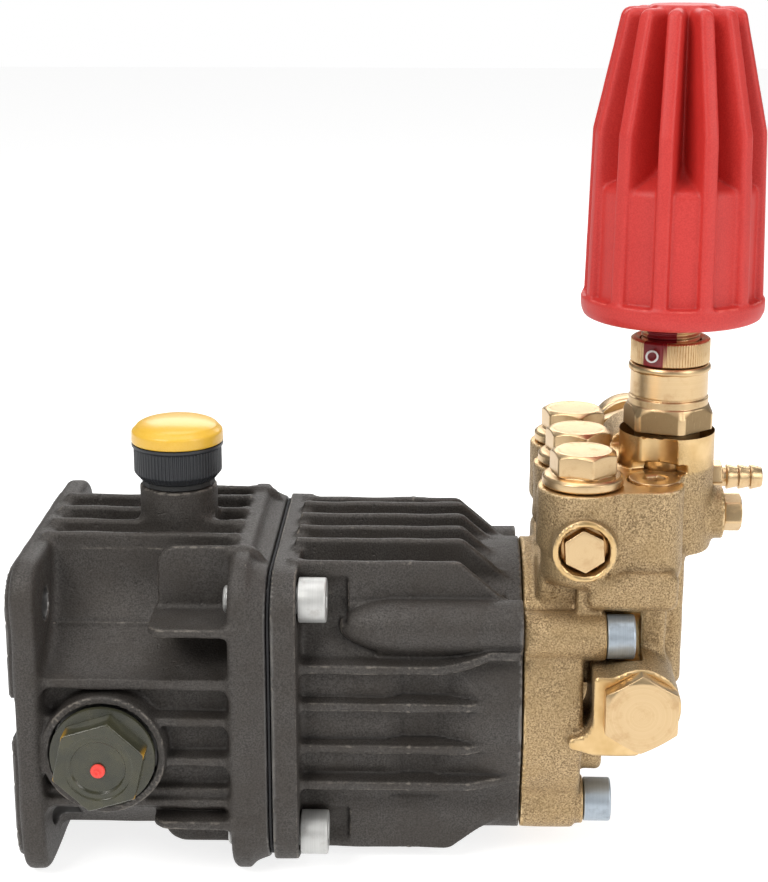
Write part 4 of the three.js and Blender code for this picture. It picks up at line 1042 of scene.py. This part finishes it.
# Brass head. A boss is its place and radius; a bolt also has the height of its seat.
head = {
    "step": 0.9, "start": 145.8, "plateEnd": 163.0, "round": 41.5, "right": 191.5, "reach": 32.0,
    "top": 67.5, "low": 36.0, "capX": 162.2, "caps": (-24.1, 0.0, 24.1), "lobe": 13.0,
    "tower": (188.6, 14.2, 78.6), "inlet": (178.8, 7.0, 11.8), "gallery": (162.2, 52.0, 9.1),
    "outlet": (182.9, 61.0, 12.0), "barb": (15.0, 58.6, 6.4), "relief": (52.0, 8.0),
    "upperBolt": (31.9, 24.0, 7.1, 169.4), "lowerBolt": (24.7, -30.9, 8.4, 164.6),
    "socket": (183.4, -17.8),
}


# A round plate, an upper block with three lobes round the valve caps, a tower, cross galleries
# and bolt bosses, joined with casting fillets.
def headCast(p):
    h = head
    x, y, z = p
    ay = np.abs(y)
    flat = (x, ay, z)
    body = bar(p, "x", 0, 0, h["round"], h["start"] - 1, h["plateEnd"], 1.8)
    u, v, r, end = h["lowerBolt"]
    body = softMin(body, bar(flat, "x", u, v, r, h["start"] - 1, h["plateEnd"] - 1, 1.2), 3.0)
    body = softMin(body, bar(flat, "x", u, v, 7.2, h["start"] - 1, end + 1, 0.8), 1.0)
    width = (h["right"] - h["capX"]) / 2
    block = roundBox2(x - h["capX"] - width, y, width, h["reach"], 9.0)
    for cap in h["caps"]:
        block = softMin(block, np.hypot(x - h["capX"], y - cap) - h["lobe"], 2.2)
    step = np.clip((51 - z) / 3.5, 0, 1)
    block = block + 1.3 * step * step * (3 - 2 * step) * (x < 170)
    upper = softMax(softMax(block, h["low"] + 2.5 - z, 5.0), z - h["top"] - 0.08, 1.0)
    body = softMin(body, upper, 1.6)
    middle = brick(p, (149.8, -27, 7), (187.5, 27, 42), 2.0)
    body = softMin(body, middle, 1.4)
    shelf = brick(flat, (163.6, 10, 32.2), (189.8, 35.4, 44), 3.2)
    body = softMin(body, shelf, 1.0)
    patch = brick(flat, (161.0, 20, 27), (168.5, 33.0, 42), 1.0)
    body = softMin(body, patch, 0.8)
    strip = brick(p, (176, -17, 2.2), (193.6, 17, 46), 3.0)
    body = softMin(body, strip, 2.5)
    u, r, top = h["tower"]
    body = softMin(body, bar(p, "z", u, 0, r, 42, top + 1, 0.8), 1.8)
    u, v, r = h["inlet"]
    body = softMin(body, bar(p, "y", u, v, r, -46, 43, 0.5), 2.6)
    foot = pressed(roundBox2(x - 172.2, z - 5.2, 6.6, 11.2, 1.2), y, -46, -18, 0.5)
    toe = pressed(roundBox2(x - 168.5, z + 4.2, 9.8, 1.7, 1.5), y, -46, -22, 0.5)
    land = softMin(foot, toe, 7.0)
    body = softMin(body, land, 1.2)
    v, r = h["relief"]
    body = softMin(body, bar(p, "x", 0, v, r, 186, 207, 0.8), 1.6)
    u, v, r = h["barb"]
    body = softMin(body, bar(p, "x", u, v, r, 186, 204, 0.8), 1.2)
    u, v, r = h["gallery"]
    body = softMin(body, bar(p, "y", u, v, r, -40.6, -20, 0.9), 1.2)
    u, v, r = h["outlet"]
    body = softMin(body, bar(p, "y", u, v, r, 20, 42.6, 0.7), 1.8)
    u, v, r, end = h["upperBolt"]
    body = softMin(body, bar(flat, "x", u, v, r, h["start"] - 1, end + 1, 0.7), 1.1)
    body = softMin(body, bar(flat, "x", 24.1, -13.9, 6.6, 158, 169.5, 1.6), 2.0)
    return body + waviness(p, 0.10, 17.0)


# Faces and bores of the head: top, tower, ports, spot faces, chambers and galleries.
def headTool(p):
    h = head
    x, y, z = p
    towerX, towerRadius, towerTop = h["tower"]
    socketX, socketY = h["socket"]
    galleryX, galleryZ, _ = h["gallery"]
    inletX, inletZ, _ = h["inlet"]
    outletX, outletZ, _ = h["outlet"]
    barbY, barbZ, _ = h["barb"]
    top = mill(p, ((140, -60, h["top"]), (215, 20, 90), 0),
               ((140, 19, h["top"]), (170.7, 60, 90), 0))
    top = np.maximum(top, towerRadius + 0.05 - np.hypot(x - towerX, y))
    faces = mill(p, ((170, -20, towerTop), (210, 20, 90), 0),
                 ((140, -70, -20), (200, -45, 30), 0),                   # near end of the inlet
                 ((160, 42, -12), (200, 70, 26), 0),                     # far end of the inlet
                 ((150, -70, 40), (175, -39.6, 64), 0),                  # gallery boss
                 ((168, 41.6, 46), (198, 70, 76), 0),                    # outlet boss
                 ((206, -12, 40), (220, 12, 64), 0),                     # relief boss
                 ((203, 8.6, 50), (220, 22, 66), 0),                     # barb boss
                 ((120, -60, -60), (h["start"], 60, 60), 0))             # joint with the housing
    bores = drill(p, ("z", socketX, socketY - 0.6, 11.3, h["top"], 70.2, 0.4),
                  ("z", socketX, socketY, 7.9, h["top"], 78, 0.2),
                  ("z", socketX, socketY, 7.8, 63.5, 72, 0),
                  ("z", socketX, socketY, 5.0, 55.5, 72, 0),
                  *[("z", h["capX"], cap, 8.4, 46, 80, 0) for cap in h["caps"]],
                  *[("z", h["capX"], cap, 12.2, h["top"], 76.5, 0) for cap in h["caps"]],
                  ("y", galleryX, galleryZ, 7.3, -70, -34.6, 0.3),
                  ("y", galleryX, galleryZ, 5.0, -70, 33.6, 0),
                  ("y", inletX, inletZ, 9.0, -70, 70, 0),
                  ("z", towerX, 0, 9.7, 61, 90, 0),
                  ("z", towerX, 0, 5.3, 44, 62, 0),
                  ("y", outletX, outletZ, 8.6, 34, 70, 0),
                  ("y", outletX, outletZ, 4.0, -2, 70, 0),
                  ("x", 0, h["relief"][0], 4.3, 188.6, 220, 0),
                  ("x", barbY, barbZ, 2.8, 194, 220, 0),
                  *[("x", u, v, 8.2, 120, 160.8, 0) for u, v in plungerPlaces])
    bolts = (h["upperBolt"], h["lowerBolt"])
    holes = drill((x, np.abs(y), z), *[("x", u, v, 4.3, 120, 183, 0) for u, v, _, _ in bolts],
                  *[("x", u, v, 7.3, seat, seat + 10.6, 0.3) for u, v, _, seat in bolts])
    return np.minimum(np.minimum(top, faces), np.minimum(bores, holes))


place(castPiece("pumpHeadCasting", headCast, headTool, (144, -48, -44), (208, 48, 78),
                head["step"]),
      "casing", "cast_brass", "castBrass", "pump_head")

# Pressure knob. Band, panel and core are radii, with the height of their tops.
knob = {
    "step": 0.78, "x": 188.6, "bottom": 111.8, "top": 200.6, "ribs": 12, "band": (26.6, 118.6),
    "panel": (23.7, 150.6), "core": 9.6, "rib": 2.1,
}


# Twelve ribs folded from one wedge: each is as thick as a plane slab and reaches out to a
# radius that falls with height, round a band, a panel drum, a funnel and a slim core.
def knobCast(p):
    k = knob
    x, y, z = p
    dx = x - k["x"]
    radius = np.hypot(dx, y)
    angle = np.arctan2(y, dx)
    wedge = 2 * np.pi / k["ribs"]
    folded = angle % wedge - wedge / 2
    across = np.abs(radius * np.sin(folded))
    out = np.interp(z, [100, 117, 166, 199.4, 205], [26.3, 26.1, 24.7, 17.3, 16.1])
    half = k["rib"] + np.clip(out - radius, 0, 16) * 0.028
    rib = softMax(across - half, (radius * np.cos(folded) - out) * 0.97, 1.3)
    rib = softMax(rib, z - k["top"] + 0.3, 2.6)
    rib = np.maximum(rib, k["bottom"] + 3 - z)
    drum, drumTop = k["panel"]
    slope = z - drumTop - np.clip((drum - radius) * 0.42, 0, 6)
    panel = softMax(radius - drum + np.clip(z - 116, 0, 40) * 0.012, slope * 0.9, 1.6)
    core = softMax(radius - k["core"], z - k["top"] - 0.4, 1.2)
    inside = np.maximum(softMin(panel, core, 7.0), k["bottom"] + 1 - z)
    body = softMin(rib, inside, 0.9)
    bandRadius, bandTop = k["band"]
    band = pressed(radius - bandRadius, z, k["bottom"], bandTop, 0.9)
    band = softMax(band, (radius - bandRadius + k["bottom"] - z + 1.6) * 0.707, 2.0)
    body = softMin(body, band, 0.9)
    return body


# The knob's hollow: a bore over the neck and a narrower one for the spring pin.
def knobTool(p):
    cut = bar(p, "z", knob["x"], 0, 12.6, 100, 119.3, 0.3)
    return np.minimum(cut, bar(p, "z", knob["x"], 0, 8.0, 100, 138.6, 0.3))


place(castPiece("pressureKnob", knobCast, knobTool, (160.5, -28, 106.5), (216.7, 28, 202.6),
                knob["step"]),
      "pressure_knob", "red_plastic", "redPlastic", "unloader_knob")

# Oil filler cap: lip and dome are a radius, then heights.
cap = {
    "x": 42.3, "low": 61.8, "radius": 13.2, "foot": 11.4, "ridges": 72, "ridge": 0.32,
    "lip": (13.75, 71.9, 72.8), "thread": 8.1, "stick": 2.2, "stickEnd": 37.5,
    "dome": (13.8, 73.0, 76.4, 80.3),
}


# A ridged cup: its radius is a flattened cosine of the angle; a shallow dome sits on it.
def addFillerCap():
    sides = cap["ridges"] * 6
    angles = ringAngles(sides)
    wave = np.cos(angles * cap["ridges"])
    ridged = cap["radius"] - cap["ridge"] * (0.5 - 0.5 * np.clip(wave * 1.8, -1, 1))
    lipRadius, lipLow, lipTop = cap["lip"]
    centre = (cap["x"], 0, 0)
    stick, thread = cap["stick"], cap["thread"]
    corners = [(0, cap["stickEnd"]), (stick, cap["stickEnd"]), (stick, 53), (thread, 53)]
    corners += threadRows(thread, 0.6, 53.5, 61.3, 1.5, angles, 4)
    corners += [(thread, cap["low"]), (cap["foot"], cap["low"]), (ridged - 0.05, 63.9),
                (ridged, 64.3), (ridged, 71.2), (cap["radius"] - 0.1, 71.5),
                (lipRadius, lipLow), (lipRadius, lipTop), (0, lipTop)]
    place(turnedPiece("fillerCup", "z", centre, corners, sides, 0.12, steps=2),
          "filler_cap", "black_plastic", "blackPlastic", "oil_cap")
    r, low, shoulder, apex = cap["dome"]
    dome = [(0, low), (r, low), (r - 0.15, shoulder)]
    bow = np.linspace(0, 1, 14)[1:]
    dome += [((r - 1.3) * math.cos(t * math.pi / 2), shoulder + 0.9
              + (apex - shoulder - 0.9) * math.sin(t * math.pi / 2)) for t in bow[:-1]]
    dome.append((0, apex))
    dome.insert(3, (r - 0.9, shoulder + 0.75))
    place(turnedPiece("fillerDome", "z", centre, dome, 144, 0.5),
          "filler_cap", "yellow_plastic", "yellowPlastic", "oil_cap_insert")


addFillerCap()

# Sight window: its flange is a radius and two distances from the shaft.
window = {
    "place": (25.0, 0.0, -8.0), "flange": (15.2, 48.2, 49.8), "flats": 24.1, "front": 56.95,
    "twist": 0.297, "lens": 7.6, "ring": 9.6, "stem": 8.6, "dot": 2.1,
}


# A six-sided window with a dished lens; amber is painted on its upper corner walls as if light
# shone through them.
def addSightWindow():
    w = window
    angles = ringAngles(192)
    hexagon = sixSided(w["flats"], angles, w["twist"], 1.15)
    radius, low, high = w["flange"]
    front = w["front"]

    # Painted light: amber on the upper corner walls, as if lamp light shone through them.
    def paintedGlow(turn, r, h):
        corner = np.clip((r - 13.1) / 0.6, 0, 1) * np.clip((h - 51) / 4, 0, 1) * (h < 56.9)
        return corner * np.clip(np.cos(2 * (turn - 1.35)) * -1.4, 0, 1)
    corners = [(0, 40), (w["stem"], 40), (w["stem"], low), (radius, low), (radius, high),
               (hexagon, high + 0.05), (hexagon, front - 0.35), (hexagon - 0.35, front),
               (w["ring"] + 0.35, front), (w["ring"], front - 0.3), (w["ring"] - 0.5, front - 0.3),
               (w["lens"] + 0.5, front - 0.1), (w["lens"], front - 0.8),
               (w["lens"] * 0.5, front - 0.55), (0, front - 0.5)]
    place(turnedPiece("sightWindow", "-y", w["place"], corners, 192, 0.18, steps=2,
                      extra={"paintedGlow": paintedGlow}),
          "casing", "oil_glass", "oilGlass", "sight_glass")
    x, _, z = w["place"]
    dot = w["dot"]
    corners = [(0, front - 0.45), (dot, front - 0.45), (dot, front + 0.35),
               (dot * 0.5, front + 0.45), (dot * 0.38, front + 0.1), (dot * 0.2, front + 0.12),
               (0, front + 0.3)]
    place(turnedPiece("windowDot", "-y", (x, 0, z - 0.8), corners, 48, 0.2),
          "casing", "red_dot", "redDot", "sight_glass_dot")


addSightWindow()

# Socket screws: radius and height of the head, socket across its flats, and shank.
screw = {"head": 6.5, "height": 8.0, "socket": 6.0, "deep": 4.0, "shank": 4.0}


# A socket screw along X: head, bevelled rim, six-sided socket and a rolled thread.
def addScrew(name, body, seat, reach, y, z, finish, node):
    angles = ringAngles(96)
    s = screw
    socket = sixSided(s["socket"], angles, y, 1.15)
    end = seat + s["height"]
    tip = seat - reach
    corners = [(0, tip), (s["shank"] - 0.7, tip)]
    corners += threadRows(s["shank"], 0.55, tip + 0.6, seat - 3, 1.25, angles, 4)
    corners += [(s["shank"], seat - 2), (s["shank"], seat), (s["head"], seat),
                (s["head"], end), (socket + 0.35, end), (socket, end - 0.35),
                (socket, end - s["deep"]), (0, end - s["deep"] - 0.9)]
    rounds = [0.3] * len(corners)
    rounds[-5] = 0.7
    place(turnedPiece(name, "x", (0, y, z), corners, 96, rounds, steps=3),
          body, "zinc_steel", finish, node)


screwCorners = ((-1, 1), (-1, -1), (1, 1), (1, -1))
for number, (side, level) in enumerate(screwCorners, 1):
    addScrew(f"caseScrew{number}", "casing", 81.2, 21.5, side * 37.8, level * 36.4, "zincBright",
             f"case_screw_{number}")
    upperBolt = level > 0
    boltY, boltZ, _, seat = head["upperBolt"] if upperBolt else head["lowerBolt"]
    addScrew(f"headBolt{number}", "casing", seat + 0.3, seat - 123, side * boltY, boltZ,
             "zincBlue", f"head_bolt_{number}")

# Brass plugs and fittings: sizes that more than one of them uses.
brass = {
    "capFlats": 17.4, "capTop": 77.9, "capTwist": math.radians(-78.5), "collar": 11.7,
    "unloaderFlats": 23.8, "stem": 11.4, "neck": 8.8, "nut": 11.6, "teeth": 84,
}


# Paint between two angles and two heights; its right side steps in a ragged way.
def paintedBy(low, high, left, right, ragged):
    def formula(turn, r, h):
        turned = np.degrees((turn + np.pi) % (2 * np.pi) - np.pi)
        t = np.clip((h - low) / (high - low), 0, 1)
        edge = right + ragged * (np.sin(t * 9) * 0.4 - (1 - t))
        inside = (turned > left) * (turned < edge) * (h > low) * (h < high)
        return inside.astype(float)
    return formula


# Puts a turned brass piece on the casing in place of its CAD node.
def placeBrass(piece, node):
    place(piece, "casing", "machined_brass", "machinedBrass", node)


# Each plug is a stem, a collar or seat, a hexagon cut by a cone, and a flat top.
def addPlugs():
    b = brass
    angles = ringAngles(144)
    hexagon = sixSided(b["capFlats"], angles, b["capTwist"])
    rim = hexTop(b["capFlats"], b["capTop"], angles, b["capTwist"], 0.62, 0.93)
    topRadius = b["capFlats"] / 2 * 0.93
    for number, y in enumerate(head["caps"], 1):
        corners = [(0, 58), (8.1, 58), (8.1, 67.7), (11.2, 67.7), (b["collar"], 68.2),
                   (b["collar"], 70.2), (10.9, 70.9), (9.0, 71.1), (hexagon - 0.12, 71.4),
                   (hexagon, 71.9), (hexagon, rim), (topRadius, b["capTop"]),
                   (topRadius - 0.9, b["capTop"] + 0.02), (topRadius - 1.1, b["capTop"] - 0.1),
                   (0, b["capTop"] - 0.1)]
        placeBrass(turnedPiece(f"valveCap{number}", "z", (head["capX"], y, 0), corners, 144, 0.25),
                   f"valve_cap_{number}")
    u, v, _ = head["gallery"]
    hexagon = sixSided(11.0, angles, math.radians(94), 1.15)
    corners = [(0, 26), (4.5, 26), (4.5, 34.9), (6.6, 34.9), (6.6, 35.6), (hexagon, 35.7),
               (hexagon, 39.3), (4.8, 39.35), (0, 39.35)]
    placeBrass(turnedPiece("galleryPlug", "-y", (u, 0, v), corners, 144, 0.25),
               "gallery_plug")
    u, v, _ = head["inlet"]
    twist = math.radians(90)
    hexagon = sixSided(20.6, angles, twist, 1.15)
    corners = [(0, 32), (8.6, 32), (8.6, 45.3), (hexagon, 45.3),
               (hexagon, hexTop(20.6, 50.3, angles, twist, 0.5, 0.99)),
               (9.9, 50.3), (0, 50.3)]
    placeBrass(turnedPiece("inletPlug", "-y", (u, 0, v), corners, 144, 0.25),
               "inlet_plug")
    u, v = head["socket"]
    socket = sixSided(5.0, angles, 0.2, 1.15)
    corners = [(0, 57), (4.6, 57), (4.6, 63.8), (7.4, 63.8), (7.4, 67.8), (socket + 0.9, 67.8),
               (socket + 0.1, 67.2), (socket, 64.9), (0, 64.2)]
    placeBrass(turnedPiece("socketPlug", "z", (u, v, 0), corners, 144, 0.25),
               "socket_plug")
    v, _ = head["relief"]
    hexagon = sixSided(10.0, angles, 0.3)
    corners = [(0, 192), (4.0, 192), (4.0, 206.3), (hexagon, 206.3),
               (hexagon, hexTop(10.0, 211.5, angles, 0.3, 0.5, 0.96)), (4.7, 211.5), (0, 211.5)]
    placeBrass(turnedPiece("reliefPlug", "x", (0, 0, v), corners, 144, 0.25),
               "relief_plug")


# Barbed tail, outlet and inlet fittings: closed profiles round an open bore.
def addFittings():
    angles = ringAngles(144)
    y, z, _ = head["barb"]
    hexagon = sixSided(9.0, angles, 0.1)
    corners = [(0, 196), (2.6, 196), (2.6, 203.3), (hexagon, 203.3), (hexagon, 207.3),
               (3.0, 207.6), (3.0, 208.9)]
    for barb in (209.0, 212.6, 216.2):
        corners += [(3.8, barb), (3.7, barb + 0.7), (3.05, barb + 3.5)]
    corners += [(2.7, 219.9), (1.6, 219.9), (1.6, 205), (0, 205)]
    placeBrass(turnedPiece("hoseTail", "x", (0, y, z), corners, 144, 0.2),
               "hose_barb")
    u, v, _ = head["outlet"]
    hexagon = sixSided(22.0, angles, 0.2)
    corners = [(4.5, 34.5), (8.2, 34.5), (8.2, 41.9), (hexagon, 41.9),
               (hexagon, hexTop(22.0, 47.9, angles, 0.2)), (10.0, 48.0), (9.4, 48.3), (9.4, 50.9),
               (12.3, 50.9), (12.3, 53.6), (11.7, 53.9), (11.7, 54.6), (12.3, 54.9),
               (12.3, 61.9), (9.4, 61.9), (9.4, 59.5), (4.5, 59.3)]
    placeBrass(turnedPiece("outletFitting", "y", (u, 0, v), corners, 144, 0.25, ring=True),
               "outlet_fitting")
    u, v, _ = head["inlet"]
    hexagon = sixSided(22.0, angles, 0.4)
    corners = [(5.5, 32.3), (8.6, 32.3), (8.6, 42.3), (hexagon, 42.3), (hexagon, 48.0),
               (11.4, 48.4), (11.4, 49.0)]
    corners += threadRows(13.2, 1.0, 49.3, 58.6, 1.8, angles, 6)
    corners += [(12.0, 59.3), (6.2, 59.3), (5.5, 58.6)]
    placeBrass(turnedPiece("inletFitting", "y", (u, 0, v), corners, 144, 0.2, ring=True),
               "inlet_fitting")


# Six-sided valve body with a polished stem, torn lip and threaded neck, and its stop nut, whose
# knurl is a sharpened cosine of the angle.
def addUnloader():
    b = brass
    centre = (head["tower"][0], 0, 0)
    angles = ringAngles(240)
    hexagon = sixSided(b["unloaderFlats"], angles, b["capTwist"], 1.118)
    rim = hexTop(b["unloaderFlats"], 85.5, angles, b["capTwist"], 1.3, 1.0)
    torn = 0.12 * np.sin(angles * 3 + 1) + 0.08 * np.sin(angles * 11)
    corners = [(6.6, 62.5), (9.4, 62.5), (9.4, 78.2), (11.0, 78.9), (hexagon - 0.1, 78.95),
               (hexagon, 79.3), (hexagon, rim), (12.0, 86.0), (11.7, 86.2), (11.7, 88.3),
               (11.2, 88.5), (11.2, 88.9), (11.4, 89.1), (11.4, 96.2 + torn),
               (12.1, 96.7 + torn), (12.0, 97.6), (11.6, 98.3), (8.8, 98.35)]
    corners += threadRows(b["neck"], 0.75, 98.6, 112.0, 1.5, angles, 5)
    corners += [(8.2, 112.3), (3.8, 112.3), (3.8, 96.3), (6.6, 96.3)]
    half = b["unloaderFlats"] / 2

    def drawn(turn, r, h):
        return ((h > 79.0) * (h < 85.6) * (r < half * 1.1) * (r > half * 0.98)).astype(float)
    placeBrass(turnedPiece("unloaderValveBody", "z", centre, corners, 240, 0.22, ring=True, extra={
        "drawn": drawn, "paint": paintedBy(105.5, 112.4, -150, -85, 0)}),
               "unloader_body")
    sides = b["teeth"] * 6
    angles = ringAngles(sides)
    tooth = 0.28 * np.clip(0.5 - 0.9 * np.cos(angles * b["teeth"]), 0, 1)
    screwTurn = math.radians(-125.6)
    away = np.abs((angles - screwTurn + np.pi) % (2 * np.pi) - np.pi)
    knurled = b["nut"] - tooth * np.clip(away / 0.2 - 1, 0, 1)
    corners = [(9.1, 98.6), (b["nut"] - 0.5, 98.6), (knurled, 99.0), (knurled, 105.4),
               (b["nut"] - 0.7, 105.9), (10.2, 106.0), (9.1, 105.3)]
    placeBrass(turnedPiece("stopNut", "z", centre, corners, sides, 0.15, ring=True, steps=2, extra={
        "paint": paintedBy(98.4, 106.2, -138, -103, 6)}),
               "stop_nut")
    corners = [(0, 9.9), (1.55, 9.9), (1.9, 11.3), (1.9, 11.72), (1.45, 11.78), (1.15, 11.5),
               (1.1, 10.6), (0, 10.4)]
    place(turnedPiece("stopNutScrew", "-y", (182.0, 0, 102.3), corners, 48, 0.12, extra={
        "paint": lambda turn, r, h: (r < 1.25).astype(float)}),
          "casing", "zinc_steel", "zincBright", "stop_nut_screw")


addPlugs()
addFittings()
addUnloader()

# Finishes of the CAD pieces that stay as they are.
staying = {
    "steel": ("drive_shaft", "swash_plate", "thrust_race", "front_bearing", "tail_bearing",
              "plunger_1", "plunger_2", "plunger_3", "spring_retainer_1", "spring_retainer_2",
              "spring_retainer_3", "unloader_piston", "spring_button"),
    "springSteel": ("plunger_spring_1", "plunger_spring_2", "plunger_spring_3",
                    "unloader_spring"),
    "rubber": ("sight_glass_seal", "oil_cap_seal", "shaft_oil_seal", "water_seal_1",
               "water_seal_2", "water_seal_3"),
    "gasket": ("case_gasket",),
    "zincBright": ("oil_drain_plug",),
    "machinedBrass": ("discharge_valve_1", "discharge_valve_2", "discharge_valve_3",
                      "suction_valve_1", "suction_valve_2", "suction_valve_3"),
}
finishes["springSteel"] = finishes["steel"]
for finish, names in staying.items():
    for name in names:
        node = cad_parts[name]
        node.data.materials.clear()
        node.data.materials.append(finishes[finish])
print("finished the CAD pieces that stay")
